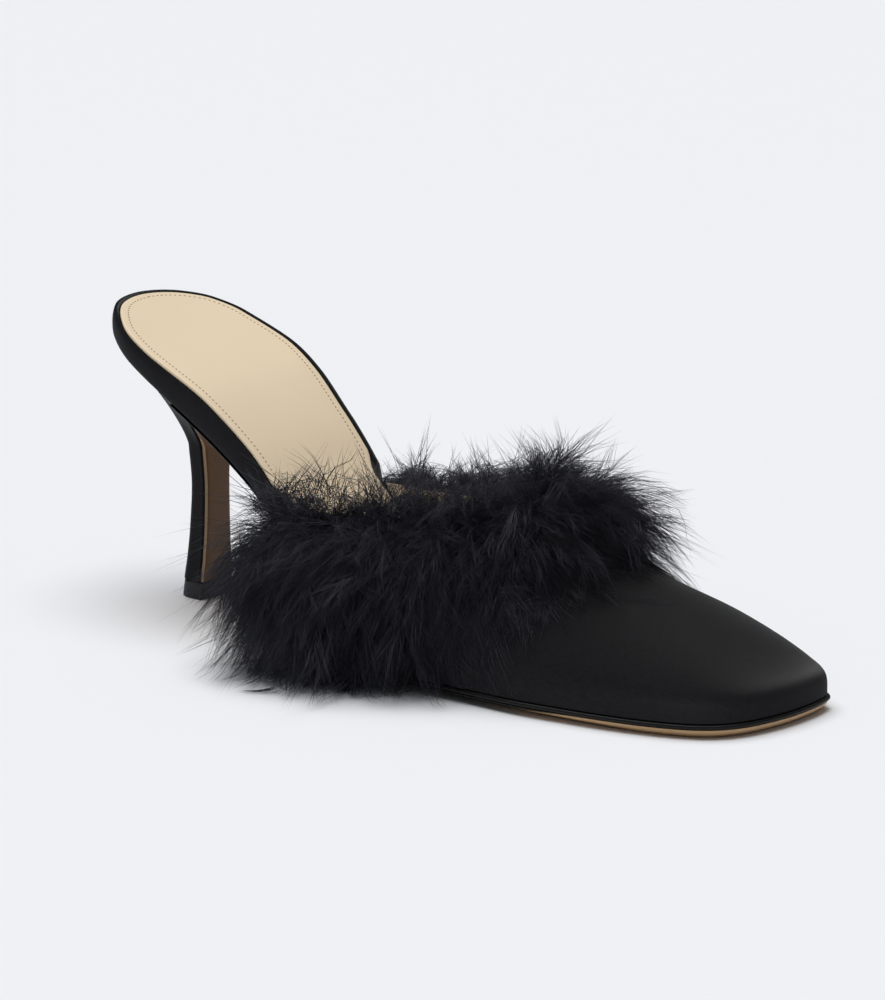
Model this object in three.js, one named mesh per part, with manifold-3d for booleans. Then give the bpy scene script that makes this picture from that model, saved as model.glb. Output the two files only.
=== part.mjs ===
// Marabou slipper: a right-foot backless mule with a satin vamp, a slim high heel and a feather trim.
// Millimetres. +X points to the toe, +Y to the inner side of the foot, +Z up, and the floor is z = 0.
// The origin is the middle of the heel's tip, on the floor.
import * as THREE from 'three';
import { mergeVertices } from 'three/addons/utils/BufferGeometryUtils.js';
import Module from 'manifold-3d';

const wasm = await Module();
wasm.setup();

// Driving sizes. Stations called x are measured from the back edge of the seat.
const SHOE_LENGTH = 228.6;
const HEEL_CENTRE = 25.5;
const GAP = 0.3;
const SIDE_STEPS = 40;

// Outsole
const OUTSOLE_START = 36;
const OUTSOLE_EDGE_INSET = 0.7;
const OUTSOLE_TREAD_INSET = 2;
const WAIST_LEATHER = 1.6;
const TREAD_LEATHER = 2.2;

// Rand, the thin lip between the outsole and the upper
const RAND_START = 81;
const RAND_WIDTH = 2.6;
const RAND_THICKNESS = 1.1;

// Upper
const UPPER_START = 81.5;
const UPPER_WALL = 1.8;
const UPPER_INSET = 0.8;
const UPPER_STATIONS = 26;
const ARCH_STEPS = 9;
const SPINE_END = 203;
const THROAT_X = 138;
const THROAT_MARGIN = 4;
const TOPLINE_HEIGHT = 37.4;
const TOPLINE_RISE = 3.2;

// Footbed and its leather sock
const FOOTBED_STEP = 80.4;
const SOCK_INSET = 1.5;
const SOCK_THICKNESS = 0.9;
const SOCK_EDGE = 0.35;
const SOCK_TAPER = 62;

// Heel
const STEM_TOP = 42;
const TOP_PIECE_HEIGHT = 4.5;
const SEAT_FRONT = 35;
const SEAT_INSET = 2.2;
const FLARE_STEPS = 8;
const FLARE_POWER = 1.3;
const BREAST_LEATHER = 1.2;
const BREAST_SIDE_INSET = 0.5;
const SIDE_POINTS = 9;
const FRONT_POINTS = 4;

// Feather trim
const BOA_OUTSET = 6.2;
const BOA_DROP = 4.5;
const BOA_STEPS = 28;
const FEATHER_CLEARANCE = 0.5;
const FEATHER_FLOOR = 3;
const LOCK_SIDES = 4;
const LOCK_STEPS = 3;

// Plan of the last: distances of the outer and inner edge from the heel's middle line.
const PLAN = [
  { x: 0, outer: 1, inner: 1 },
  { x: 4, outer: -12, inner: 15.2 },
  { x: 10, outer: -17, inner: 21.4 },
  { x: 20, outer: -21.4, inner: 24.4 },
  { x: 35, outer: -24, inner: 24.6 },
  { x: 50, outer: -24.7, inner: 21.6 },
  { x: 65, outer: -25, inner: 17.4 },
  { x: 80, outer: -27, inner: 14.9 },
  { x: 95, outer: -31.6, inner: 15.6 },
  { x: 110, outer: -36.6, inner: 19.6 },
  { x: 125, outer: -39, inner: 25.6 },
  { x: 145, outer: -39.4, inner: 32.4 },
  { x: 165, outer: -39.2, inner: 35.2 },
  { x: 185, outer: -37, inner: 34.8 },
  { x: 200, outer: -34.1, inner: 31.4 },
  { x: 212, outer: -30.2, inner: 25.8 },
  { x: 220, outer: -25.8, inner: 21.6 },
  { x: 225.5, outer: -18.6, inner: 18 },
  { x: 228.6, outer: 0, inner: 0 },
];

// Side view: height of the seam on top of the outsole, and the thickness of the footbed above it.
const PROFILE = [
  { x: 0, seam: 72.2, footbed: 6.7 },
  { x: 10, seam: 68.5, footbed: 7.3 },
  { x: 20, seam: 64.6, footbed: 8 },
  { x: 35, seam: 58.1, footbed: 9.4 },
  { x: 50, seam: 50.3, footbed: 10.6 },
  { x: 65, seam: 40.6, footbed: 10.4 },
  { x: 80, seam: 28.6, footbed: 9.4 },
  { x: 95, seam: 15.4, footbed: 7.8 },
  { x: 108, seam: 6.2, footbed: 6.2 },
  { x: 118, seam: 2.9, footbed: 4.9 },
  { x: 127, seam: 2.2, footbed: 4.1 },
  { x: 165, seam: 2.2, footbed: 3.4 },
  { x: 205, seam: 2.2, footbed: 3.2 },
  { x: 228.6, seam: 2.3, footbed: 3 },
];

// Upper: a lid over the plan and a wall under its rim. Height of the lid over the ridge, place of the
// ridge, fall of the lid towards its sides, and squareness of the shoulder between lid and wall.
const ARCH = [
  { x: 75, crown: 78, ridge: -4, fall: 0.3, square: 2.6 },
  { x: 95, crown: 62, ridge: -3, fall: 0.3, square: 2.6 },
  { x: 115, crown: 50, ridge: -1, fall: 0.3, square: 2.5 },
  { x: 138, crown: 40.6, ridge: 3, fall: 0.32, square: 2.5 },
  { x: 155, crown: 34.4, ridge: 4, fall: 0.33, square: 2.5 },
  { x: 175, crown: 27.8, ridge: 4, fall: 0.3, square: 2.7 },
  { x: 190, crown: 23.4, ridge: 3, fall: 0.28, square: 3.2 },
  { x: 203, crown: 19.7, ridge: 2, fall: 0.29, square: 3.8 },
  { x: 216, crown: 16, ridge: 2, fall: 0.31, square: 4.4 },
  { x: 228.6, crown: 12.2, ridge: 2, fall: 0.32, square: 5 },
];

// Heel stem: front of the stem, half its width and its depth at each height.
const STEM = [
  { z: 0, front: 30.8, half: 6.6, depth: 10.4 },
  { z: 4.5, front: 30.9, half: 6.2, depth: 9.9 },
  { z: 12, front: 31.2, half: 5.5, depth: 9.1 },
  { z: 20, front: 31.4, half: 5, depth: 8.5 },
  { z: 31, front: 31.5, half: 4.8, depth: 7.9 },
  { z: 42, front: 31.3, half: 5.4, depth: 8.4 },
];

// Skirt of feathers along the boa, from its outer end to its inner end: how far it stands out,
// how far it falls and how high its crest is.
const SKIRT = [
  { along: 0, reach: 12, drop: 18, crest: 4 },
  { along: 0.1, reach: 24, drop: 26, crest: 6 },
  { along: 0.25, reach: 26, drop: 27, crest: 7 },
  { along: 0.42, reach: 27, drop: 20, crest: 8 },
  { along: 0.55, reach: 29, drop: 15, crest: 9 },
  { along: 0.7, reach: 22, drop: 16, crest: 8 },
  { along: 0.9, reach: 17, drop: 20, crest: 6 },
  { along: 1, reach: 9, drop: 14, crest: 4 },
];

// Section of the skirt, in shares of its reach, crest and drop
const SKIRT_SECTION = [
  { reach: -0.16, crest: 0.1, drop: 0 },
  { reach: -0.1, crest: 0.8, drop: 0 },
  { reach: 0.12, crest: 1, drop: 0 },
  { reach: 0.5, crest: 0.5, drop: 0.05 },
  { reach: 0.88, crest: 0, drop: 0.35 },
  { reach: 1, crest: 0, drop: 0.85 },
  { reach: 0.84, crest: 0, drop: 1 },
  { reach: 0.4, crest: 0, drop: 0.75 },
  { reach: -0.05, crest: 0, drop: 0.3 },
];

// Rows of feather locks on the skirt: how many, from where to where along the boa, the share of the
// skirt's reach and drop that they start at, and their heading, length, fall and root radius.
const LOCK_ROWS = [
  { count: 13, from: 0.03, to: 0.42, out: 0.72, down: 0.8, lift: -0.75, ahead: -0.1, length: 21, fall: 2, root: 4.6 },
  { count: 11, from: 0.02, to: 0.44, out: 0.7, down: 0.3, lift: -0.2, ahead: -0.15, length: 21, fall: 8, root: 4.6 },
  { count: 3, from: 0.01, to: 0.06, out: 0.4, down: 0.3, lift: -0.25, ahead: -1.6, length: 24, fall: 6, root: 4.2 },
  { count: 9, from: 0.4, to: 0.68, out: 0.7, down: 0.6, lift: -0.35, ahead: 0.7, length: 20, fall: 3, root: 4.4 },
  { count: 8, from: 0.38, to: 0.7, out: 0.4, down: 0, lift: 0.45, ahead: 0.7, length: 30, fall: 6, root: 4.6 },
  { count: 6, from: 0.4, to: 0.66, out: 0.1, down: -0.2, lift: 1.2, ahead: 0.5, length: 22, fall: 1, root: 4 },
  { count: 9, from: 0.66, to: 0.97, out: 0.7, down: 0.7, lift: -0.55, ahead: -0.05, length: 17, fall: 2, root: 4.4 },
  { count: 7, from: 0.66, to: 0.97, out: 0.5, down: 0, lift: 0.5, ahead: 0, length: 18, fall: 4, root: 4.2 },
];

const mix = (a, b, t) => a + (b - a) * t;
const toArc = (x) => Math.acos(1 - (2 * Math.min(Math.max(x, 0), SHOE_LENGTH)) / SHOE_LENGTH);
const fromArc = (arc) => (SHOE_LENGTH / 2) * (1 - Math.cos(arc));
const plain = (x) => x;

// Smooth curve through one column of a table, as a function of the row's key.
function column(rows, name, key = 'x', warp = plain) {
  const at = rows.map((row) => warp(row[key]));
  const value = rows.map((row) => row[name]);
  const last = rows.length - 1;
  const slope = (i) => (value[i + 1] - value[i]) / (at[i + 1] - at[i]);
  const tangent = (i) => {
    if (i === 0) return slope(0);
    if (i === last) return slope(last - 1);
    const product = slope(i - 1) * slope(i);
    return product > 0 ? (2 * product) / (slope(i - 1) + slope(i)) : 0;
  };
  return (x) => {
    const u = Math.min(Math.max(warp(x), at[0]), at[last]);
    let i = 0;
    while (i < last - 1 && u > at[i + 1]) i += 1;
    const width = at[i + 1] - at[i];
    const t = (u - at[i]) / width;
    const rise = (3 - 2 * t) * t * t;
    const start = (t * t * t - 2 * t * t + t) * width * tangent(i);
    const end = (t * t * t - t * t) * width * tangent(i + 1);
    return mix(value[i], value[i + 1], rise) + start + end;
  };
}

const outerEdge = column(PLAN, 'outer', 'x', toArc);
const innerEdge = column(PLAN, 'inner', 'x', toArc);
const seamHeight = column(PROFILE, 'seam');
const footbedThickness = column(PROFILE, 'footbed');
const archCrown = column(ARCH, 'crown');
const archRidge = column(ARCH, 'ridge');
const archFall = column(ARCH, 'fall');
const archSquare = column(ARCH, 'square');
const stemFront = column(STEM, 'front', 'z');
const stemHalf = column(STEM, 'half', 'z');
const stemDepth = column(STEM, 'depth', 'z');
const skirtReach = column(SKIRT, 'reach', 'along');
const skirtDrop = column(SKIRT, 'drop', 'along');
const skirtCrest = column(SKIRT, 'crest', 'along');
const leather = (x) => mix(WAIST_LEATHER, TREAD_LEATHER, THREE.MathUtils.smoothstep(x, 80, 125));
const upperFoot = (x) => seamHeight(x) + GAP + RAND_THICKNESS + GAP;
const topline = (x) => TOPLINE_HEIGHT + TOPLINE_RISE * THREE.MathUtils.smoothstep(x, 80, THROAT_X);

// Solids from triangles
class Triangles {
  constructor() {
    this.corners = [];
  }

  triangle(a, b, c) {
    this.corners.push(...a.toArray(), ...b.toArray(), ...c.toArray());
  }

  quad(a, b, c, d) {
    this.triangle(a, b, c);
    this.triangle(a, c, d);
  }

  solid() {
    const geometry = new THREE.BufferGeometry();
    geometry.setAttribute('position', new THREE.Float32BufferAttribute(this.corners, 3));
    return toSolid(geometry);
  }
}

function toSolid(geometry) {
  geometry.deleteAttribute('normal');
  geometry.deleteAttribute('uv');
  const merged = mergeVertices(geometry, 1e-3);
  const corner = merged.index.array;
  const faces = [];
  for (let i = 0; i < corner.length; i += 3) {
    const [a, b, c] = [corner[i], corner[i + 1], corner[i + 2]];
    if (a !== b && b !== c && c !== a) faces.push(a, b, c);
  }
  const vertProperties = new Float32Array(merged.attributes.position.array);
  const mesh = new wasm.Mesh({ numProp: 3, vertProperties, triVerts: new Uint32Array(faces) });
  return new wasm.Manifold(mesh);
}

function largestPiece(solid) {
  const pieces = solid.decompose();
  return pieces.reduce((best, piece) => (piece.volume() > best.volume() ? piece : best));
}

// Closed loop of plan points, from the back along the outer side to the front and back again.
function planLoop(start, end, inset) {
  const outer = [];
  const inner = [];
  for (let i = 0; i <= SIDE_STEPS; i += 1) {
    const x = fromArc(mix(toArc(start), toArc(end), i / SIDE_STEPS));
    outer.push(new THREE.Vector2(x, outerEdge(x)));
    inner.push(new THREE.Vector2(x, innerEdge(x)));
  }
  const shift = (line, side) => line.map((point, i) => {
    const before = line[Math.max(i - 1, 0)];
    const after = line[Math.min(i + 1, SIDE_STEPS)];
    const along = after.clone().sub(before).normalize();
    const roundTip = i === SIDE_STEPS && end === SHOE_LENGTH;
    const roundBack = i === 0 && start === 0;
    if (roundTip) along.set(0, -side);
    if (roundBack) along.set(0, side);
    const inward = new THREE.Vector2(along.y, -along.x).multiplyScalar(side * inset(point.x));
    if (!roundTip && !roundBack && (i === 0 || i === SIDE_STEPS)) inward.x = 0;
    return point.clone().add(inward);
  });
  return { outer: shift(outer, -1), inner: shift(inner, 1) };
}

// Solid made of level rings over the plan. Each ring has an inset and a height, both by station.
function plate(start, end, rings) {
  const loops = rings.map(({ inset, height }) => {
    const lift = (point) => new THREE.Vector3(point.x, point.y, height(point.x));
    const { outer, inner } = planLoop(start, end, inset);
    return { outer: outer.map(lift), inner: inner.map(lift) };
  });
  const body = new Triangles();
  const bottom = loops[0];
  const top = loops[loops.length - 1];
  for (let i = 0; i < SIDE_STEPS; i += 1) {
    body.quad(bottom.outer[i], bottom.inner[i], bottom.inner[i + 1], bottom.outer[i + 1]);
    body.quad(top.outer[i], top.outer[i + 1], top.inner[i + 1], top.inner[i]);
    for (let r = 0; r + 1 < loops.length; r += 1) {
      const low = loops[r];
      const high = loops[r + 1];
      body.quad(low.outer[i], low.outer[i + 1], high.outer[i + 1], high.outer[i]);
      body.quad(low.inner[i + 1], low.inner[i], high.inner[i], high.inner[i + 1]);
    }
  }
  for (let r = 0; r + 1 < loops.length; r += 1) {
    const low = loops[r];
    const high = loops[r + 1];
    body.quad(low.inner[0], low.outer[0], high.outer[0], high.inner[0]);
    const i = SIDE_STEPS;
    body.quad(low.outer[i], low.inner[i], high.inner[i], high.outer[i]);
  }
  return body.solid();
}

// Solid through rings of equal count whose points run from the back to the front and back again.
function ringLoft(rings) {
  const body = new Triangles();
  const count = rings[0].length;
  const low = rings[0];
  const high = rings[rings.length - 1];
  for (let i = 0; i < count / 2; i += 1) {
    const a = (count - i) % count;
    const b = count - i - 1;
    body.quad(low[i], low[a], low[b], low[i + 1]);
    body.quad(high[i], high[i + 1], high[b], high[a]);
  }
  for (let r = 0; r + 1 < rings.length; r += 1) {
    for (let i = 0; i < count; i += 1) {
      const next = (i + 1) % count;
      body.quad(rings[r][i], rings[r][next], rings[r + 1][next], rings[r + 1][i]);
    }
  }
  return body.solid();
}

// Heel: rings of the stem, then the flare up to the seat
function heelRing(side, front) {
  const half = [];
  for (let i = 0; i <= SIDE_POINTS; i += 1) half.push(side(i / SIDE_POINTS));
  for (let i = 1; i <= FRONT_POINTS; i += 1) half.push(front(i / FRONT_POINTS));
  return half;
}

function stemSide(z, sign, cut) {
  const rounded = 0.62;
  const front = stemFront(z) - cut;
  const depth = stemDepth(z) - cut;
  const half = stemHalf(z);
  const corner = front - depth * 0.42;
  return heelRing(
    (t) => {
      if (t > rounded) return new THREE.Vector3(mix(corner, front, (t - rounded) / (1 - rounded)), sign * half, z);
      const turn = (t / rounded) * (Math.PI / 2);
      const back = corner - (depth - (front - corner)) * Math.cos(turn);
      return new THREE.Vector3(back, sign * half * Math.sin(turn), z);
    },
    (t) => new THREE.Vector3(front, sign * half * (1 - t), z),
  );
}

function seatSide(sign) {
  const edge = sign < 0 ? outerEdge : innerEdge;
  const place = (x, y) => new THREE.Vector3(x, y, seamHeight(x) - GAP);
  const backArc = toArc(SEAT_INSET);
  const frontArc = toArc(SEAT_FRONT);
  return heelRing(
    (t) => {
      const x = fromArc(mix(backArc, frontArc, t));
      const narrow = THREE.MathUtils.smoothstep(t, 0, 0.3);
      const outline = edge(x) - sign * SEAT_INSET;
      return place(x, mix(0, outline, Math.sqrt(narrow)));
    },
    (t) => place(SEAT_FRONT, (edge(SEAT_FRONT) - sign * SEAT_INSET) * (1 - t)),
  );
}

function closeRing(outer, inner) {
  return [...outer, ...inner.slice(1, -1).reverse()];
}

function stemRing(z, cut) {
  return closeRing(stemSide(z, -1, cut), stemSide(z, 1, cut));
}

function flareRings(cut) {
  const low = stemRing(STEM_TOP, cut);
  const high = closeRing(seatSide(-1), seatSide(1));
  const rings = [];
  for (let k = 1; k <= FLARE_STEPS; k += 1) {
    const t = k / FLARE_STEPS;
    const spread = t ** FLARE_POWER;
    rings.push(low.map((point, i) => new THREE.Vector3(
      mix(point.x, high[i].x, spread),
      mix(point.y, high[i].y, spread),
      mix(point.z, high[i].z, t),
    )));
  }
  return rings;
}

function heelSolid() {
  const cut = BREAST_LEATHER + GAP;
  const levels = [TOP_PIECE_HEIGHT + GAP, 12, 20, 31, STEM_TOP];
  return ringLoft([...levels.map((z) => stemRing(z, cut)), ...flareRings(cut)]);
}

function topPieceSolid() {
  return ringLoft([stemRing(0, 0), stemRing(TOP_PIECE_HEIGHT, 0)]);
}

// Leather flap down the breast of the heel, in front of the cover
function breastFlap() {
  const back = BREAST_LEATHER;
  const rings = [];
  const addLevel = (outerPoint, innerPoint, drop) => {
    const inside = Math.sign(innerPoint.y) * BREAST_SIDE_INSET;
    const ring = [
      new THREE.Vector3(outerPoint.x - back, outerPoint.y + inside, outerPoint.z - drop),
      new THREE.Vector3(outerPoint.x, outerPoint.y + inside, outerPoint.z - drop),
      new THREE.Vector3(innerPoint.x, innerPoint.y - inside, innerPoint.z - drop),
      new THREE.Vector3(innerPoint.x - back, innerPoint.y - inside, innerPoint.z - drop),
    ];
    rings.push(ring);
  };
  [TOP_PIECE_HEIGHT + GAP, 12, 20, 31, STEM_TOP].forEach((z) => {
    const half = stemHalf(z);
    addLevel(new THREE.Vector3(stemFront(z), -half, z), new THREE.Vector3(stemFront(z), half, z), 0);
  });
  flareRings(0).forEach((ring, k) => {
    const tall = (k + 1) / FLARE_STEPS;
    const outerPoint = ring[SIDE_POINTS].clone();
    const innerPoint = ring[ring.length - SIDE_POINTS].clone();
    const forward = (BREAST_LEATHER + GAP) * tall ** FLARE_POWER;
    outerPoint.x += forward;
    innerPoint.x += forward;
    addLevel(outerPoint, innerPoint, 0.4 * tall);
  });
  const body = new Triangles();
  const low = rings[0];
  const high = rings[rings.length - 1];
  body.quad(low[0], low[3], low[2], low[1]);
  body.quad(high[0], high[1], high[2], high[3]);
  for (let r = 0; r + 1 < rings.length; r += 1) {
    for (let i = 0; i < 4; i += 1) {
      const next = (i + 1) % 4;
      body.quad(rings[r][i], rings[r][next], rings[r + 1][next], rings[r + 1][i]);
    }
  }
  return body.solid();
}

function outsoleSolid() {
  const tread = plate(OUTSOLE_START, SHOE_LENGTH, [
    { inset: () => OUTSOLE_TREAD_INSET, height: (x) => seamHeight(x) - leather(x) },
    { inset: () => OUTSOLE_EDGE_INSET + 0.5, height: (x) => seamHeight(x) - leather(x) * 0.6 },
    { inset: () => OUTSOLE_EDGE_INSET, height: seamHeight },
  ]);
  return largestPiece(tread.add(breastFlap()));
}

// Rand: a lip along both sides and round the toe, open towards the heel
function randSolid() {
  const low = (x) => seamHeight(x) + GAP;
  const high = (x) => low(x) + RAND_THICKNESS;
  const outside = plate(RAND_START, SHOE_LENGTH, [
    { inset: () => 0.3, height: low },
    { inset: () => 0, height: (x) => mix(low(x), high(x), 0.35) },
    { inset: () => 0, height: (x) => mix(low(x), high(x), 0.65) },
    { inset: () => 0.3, height: high },
  ]);
  const inside = plate(RAND_START - 4, SHOE_LENGTH, [
    { inset: () => RAND_WIDTH, height: (x) => low(x) - 2 },
    { inset: () => RAND_WIDTH, height: (x) => high(x) + 2 },
  ]);
  return outside.subtract(inside);
}

// Footbed: full width where it shows behind the upper, and inside the upper's wall further forward
const INSIDE_UPPER = UPPER_INSET + UPPER_WALL + GAP;
const footbedTop = (x) => seamHeight(x) + GAP + footbedThickness(x);

function footbedSolid() {
  const low = (x) => seamHeight(x) + GAP;
  const at = (share) => (x) => mix(low(x), footbedTop(x), share);
  const rings = (inset) => [
    { inset: (x) => inset(x) + 1, height: low },
    { inset: (x) => inset(x) + 0.15, height: at(0.25) },
    { inset: (x) => inset(x) + 0.1, height: at(0.8) },
    { inset: (x) => inset(x) + 0.9, height: footbedTop },
  ];
  const showing = plate(0, FOOTBED_STEP, rings(() => 0));
  const enclosed = plate(FOOTBED_STEP - 2, SHOE_LENGTH, rings(() => INSIDE_UPPER));
  return showing.add(enclosed);
}

function sockSolid() {
  const inset = (x) => INSIDE_UPPER * THREE.MathUtils.smoothstep(x, SOCK_TAPER, FOOTBED_STEP - 2) + SOCK_INSET;
  const low = (x) => footbedTop(x) + GAP;
  return plate(0, SHOE_LENGTH, [
    { inset, height: low },
    { inset, height: (x) => low(x) + SOCK_THICKNESS - SOCK_EDGE },
    { inset: (x) => inset(x) + SOCK_EDGE, height: (x) => low(x) + SOCK_THICKNESS },
  ]);
}

// Lid over a point of the plan: the height of its ridge there, and the share of it that is left at y
function lid(x, y) {
  const back = Math.min(x, SPINE_END);
  const ridge = archRidge(back);
  const edge = y < ridge ? outerEdge(back) + UPPER_INSET : innerEdge(back) - UPPER_INSET;
  const share = (y - ridge) / (edge - ridge);
  return { crown: archCrown(x), fallen: 1 - archFall(x) * share * share };
}

// Point of the upper at a step of the way from the foot of its wall to the ridge
function archPoint(edge, spine, wall, step) {
  const turn = (Math.PI / 2) * (1 - step / ARCH_STEPS);
  const square = archSquare(edge.station);
  const reach = Math.sin(turn) ** (2 / square);
  const rise = Math.max(Math.cos(turn), 0) ** (2 / square);
  const x = mix(spine.x, edge.x, reach);
  const y = mix(spine.y, edge.y, reach);
  const { crown, fallen } = lid(x, y);
  const foot = upperFoot(edge.x);
  return new THREE.Vector3(x, y, foot + (crown - wall - foot) * fallen * rise);
}

// Closed solid under the upper's outer face, or under its inner face with the wall as inset.
function lastSolid(start, wall, footDrop) {
  const inset = UPPER_INSET + wall;
  const sides = planLoopStations(start, inset);
  const build = (line) => line.map((edge) => {
    const ridgeX = Math.min(edge.station, SPINE_END);
    const spine = new THREE.Vector2(ridgeX, archRidge(ridgeX));
    const points = [];
    for (let step = 0; step <= ARCH_STEPS; step += 1) points.push(archPoint(edge, spine, wall, step));
    if (footDrop > 0) points.unshift(points[0].clone().setZ(points[0].z - footDrop));
    return points;
  });
  const outer = build(sides.outer);
  const inner = build(sides.inner);
  const body = new Triangles();
  const last = outer[0].length - 1;
  for (let i = 0; i < UPPER_STATIONS; i += 1) {
    for (let j = 0; j < last; j += 1) {
      body.quad(outer[i][j], outer[i + 1][j], outer[i + 1][j + 1], outer[i][j + 1]);
      body.quad(inner[i + 1][j], inner[i][j], inner[i][j + 1], inner[i + 1][j + 1]);
    }
    body.quad(outer[i][0], inner[i][0], inner[i + 1][0], outer[i + 1][0]);
  }
  for (let j = 0; j < last; j += 1) {
    body.quad(inner[0][j], outer[0][j], outer[0][j + 1], inner[0][j + 1]);
  }
  return body.solid();
}

function planLoopStations(start, inset) {
  const side = (edge, sign) => {
    const line = [];
    for (let i = 0; i <= UPPER_STATIONS; i += 1) {
      line.push(fromArc(mix(toArc(start), Math.PI, i / UPPER_STATIONS)));
    }
    return line.map((x, i) => {
      const before = line[Math.max(i - 1, 0)];
      const after = line[Math.min(i + 1, UPPER_STATIONS)];
      const along = new THREE.Vector2(after - before, edge(after) - edge(before)).normalize();
      if (i === UPPER_STATIONS) along.set(0, -sign);
      const point = new THREE.Vector2(x, edge(x));
      const inward = new THREE.Vector2(along.y, -along.x).multiplyScalar(sign * inset);
      if (i === 0) inward.x = 0;
      point.add(inward);
      point.station = x;
      return point;
    });
  };
  return { outer: side(outerEdge, -1), inner: side(innerEdge, 1) };
}

// Everything above the topline, from behind the shoe to just past the throat
function toplineCutter(drop) {
  const halfWidth = 80;
  const above = 140;
  const backX = 60;
  const frontX = THROAT_X + THROAT_MARGIN;
  const shape = new THREE.Shape();
  shape.moveTo(backX, above);
  const steps = 14;
  for (let i = 0; i <= steps; i += 1) {
    const x = mix(backX, frontX, i / steps);
    shape.lineTo(x, topline(x) - drop);
  }
  shape.lineTo(frontX, above);
  const geometry = new THREE.ExtrudeGeometry(shape, { depth: 2 * halfWidth, bevelEnabled: false });
  geometry.rotateX(Math.PI / 2);
  geometry.translate(0, halfWidth, 0);
  return toSolid(geometry);
}

function upperSolid() {
  const outside = lastSolid(UPPER_START, 0, 0);
  const inside = lastSolid(UPPER_START - 4, UPPER_WALL, 6);
  return largestPiece(outside.subtract(inside).subtract(toplineCutter(0)));
}

// Path of the boa: along the topline from the outer side round the throat to the inner side
function toplinePoint(x, sign) {
  const edge = sign < 0 ? outerEdge(x) + UPPER_INSET : innerEdge(x) - UPPER_INSET;
  const foot = upperFoot(x);
  const height = (reach) => {
    const rise = Math.max(1 - reach ** archSquare(x), 0) ** (1 / archSquare(x));
    return foot + (archCrown(x) - foot) * (1 - archFall(x) * reach * reach) * rise;
  };
  let low = 0;
  let high = 1;
  for (let k = 0; k < 30; k += 1) {
    const middle = (low + high) / 2;
    if (height(middle) > topline(x)) low = middle;
    else high = middle;
  }
  return new THREE.Vector3(x, mix(archRidge(x), edge, low), topline(x));
}

function boaPath() {
  const points = [];
  const sideSteps = 7;
  const side = (sign, i) => {
    const x = mix(UPPER_START + 1, THROAT_X - 2, Math.sin((i / sideSteps) * (Math.PI / 2)));
    const point = toplinePoint(x, sign);
    const out = 1 - 0.75 * (i / sideSteps) ** 4;
    point.y += sign * BOA_OUTSET * out;
    point.x += BOA_OUTSET * (1 - out);
    point.z -= BOA_DROP;
    return point;
  };
  for (let i = 0; i < sideSteps; i += 1) points.push(side(-1, i));
  const throat = new THREE.Vector3(THROAT_X + BOA_OUTSET, archRidge(THROAT_X), topline(THROAT_X) - 1);
  points.push(throat);
  for (let i = sideSteps - 1; i >= 0; i -= 1) points.push(side(1, i));
  return new THREE.CatmullRomCurve3(points, false, 'centripetal');
}

// Tapering tube along a list of centres, with one radius each
function taperedTube(centres, radii, sides) {
  const rings = centres.map((centre, i) => {
    const before = centres[Math.max(i - 1, 0)];
    const after = centres[Math.min(i + 1, centres.length - 1)];
    const along = after.clone().sub(before).normalize();
    const across = new THREE.Vector3(0, 0, 1).cross(along);
    if (across.length() < 0.2) across.set(0, 1, 0);
    across.normalize();
    const upward = along.clone().cross(across);
    const ring = [];
    for (let k = 0; k < sides; k += 1) {
      const turn = (2 * Math.PI * k) / sides;
      ring.push(centre.clone()
        .addScaledVector(across, radii[i] * Math.cos(turn))
        .addScaledVector(upward, radii[i] * Math.sin(turn)));
    }
    return ring;
  });
  return tubeSolid(rings, centres[0], centres[centres.length - 1]);
}

// Solid through rings round a path, closed by a fan at each end
function tubeSolid(rings, first, last) {
  const body = new Triangles();
  const sides = rings[0].length;
  const end = rings[rings.length - 1];
  for (let k = 0; k < sides; k += 1) {
    const next = (k + 1) % sides;
    for (let i = 0; i + 1 < rings.length; i += 1) {
      body.quad(rings[i][k], rings[i][next], rings[i + 1][next], rings[i + 1][k]);
    }
    body.triangle(first, rings[0][next], rings[0][k]);
    body.triangle(last, end[k], end[next]);
  }
  return body.solid();
}

// Level direction away from the shoe's opening at a share of the boa's length
function outwardAt(path, along) {
  const run = path.getTangentAt(along);
  return new THREE.Vector3(run.y, -run.x, 0).normalize();
}

function skirtSolid(path) {
  const rings = [];
  for (let i = 0; i <= BOA_STEPS; i += 1) {
    const along = i / BOA_STEPS;
    const root = path.getPointAt(along);
    const outward = outwardAt(path, along);
    rings.push(SKIRT_SECTION.map(({ reach, crest, drop }) => {
      const point = root.clone().addScaledVector(outward, reach * skirtReach(along));
      point.z += crest * skirtCrest(along) - drop * skirtDrop(along);
      return point;
    }));
  }
  const middle = (ring) => ring.reduce((sum, point) => sum.add(point), new THREE.Vector3())
    .divideScalar(ring.length);
  return tubeSolid(rings, middle(rings[0]), middle(rings[BOA_STEPS]));
}

// One lock: out from the skirt, ahead or back along the shoe, then falling along a parabola
function featherLock(path, row, index) {
  const along = mix(row.from, row.to, index / (row.count - 1));
  const outward = outwardAt(path, along);
  const root = path.getPointAt(along).addScaledVector(outward, row.out * skirtReach(along));
  root.z -= row.down * skirtDrop(along);
  const sway = Math.sin(index * 2.4 + row.count);
  const heading = outward.clone();
  heading.x += row.ahead + 0.35 * sway;
  heading.z += row.lift + 0.15 * Math.cos(index * 1.7);
  heading.normalize();
  const length = row.length * (1 + 0.14 * sway);
  const centres = [];
  const radii = [];
  for (let k = 0; k <= LOCK_STEPS; k += 1) {
    const t = k / LOCK_STEPS;
    const centre = root.clone().addScaledVector(heading, length * t);
    centre.z -= row.fall * t * t;
    centres.push(centre);
    radii.push(row.root * (1 - 0.84 * t ** 1.4));
  }
  return taperedTube(centres, radii, LOCK_SIDES);
}

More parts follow.
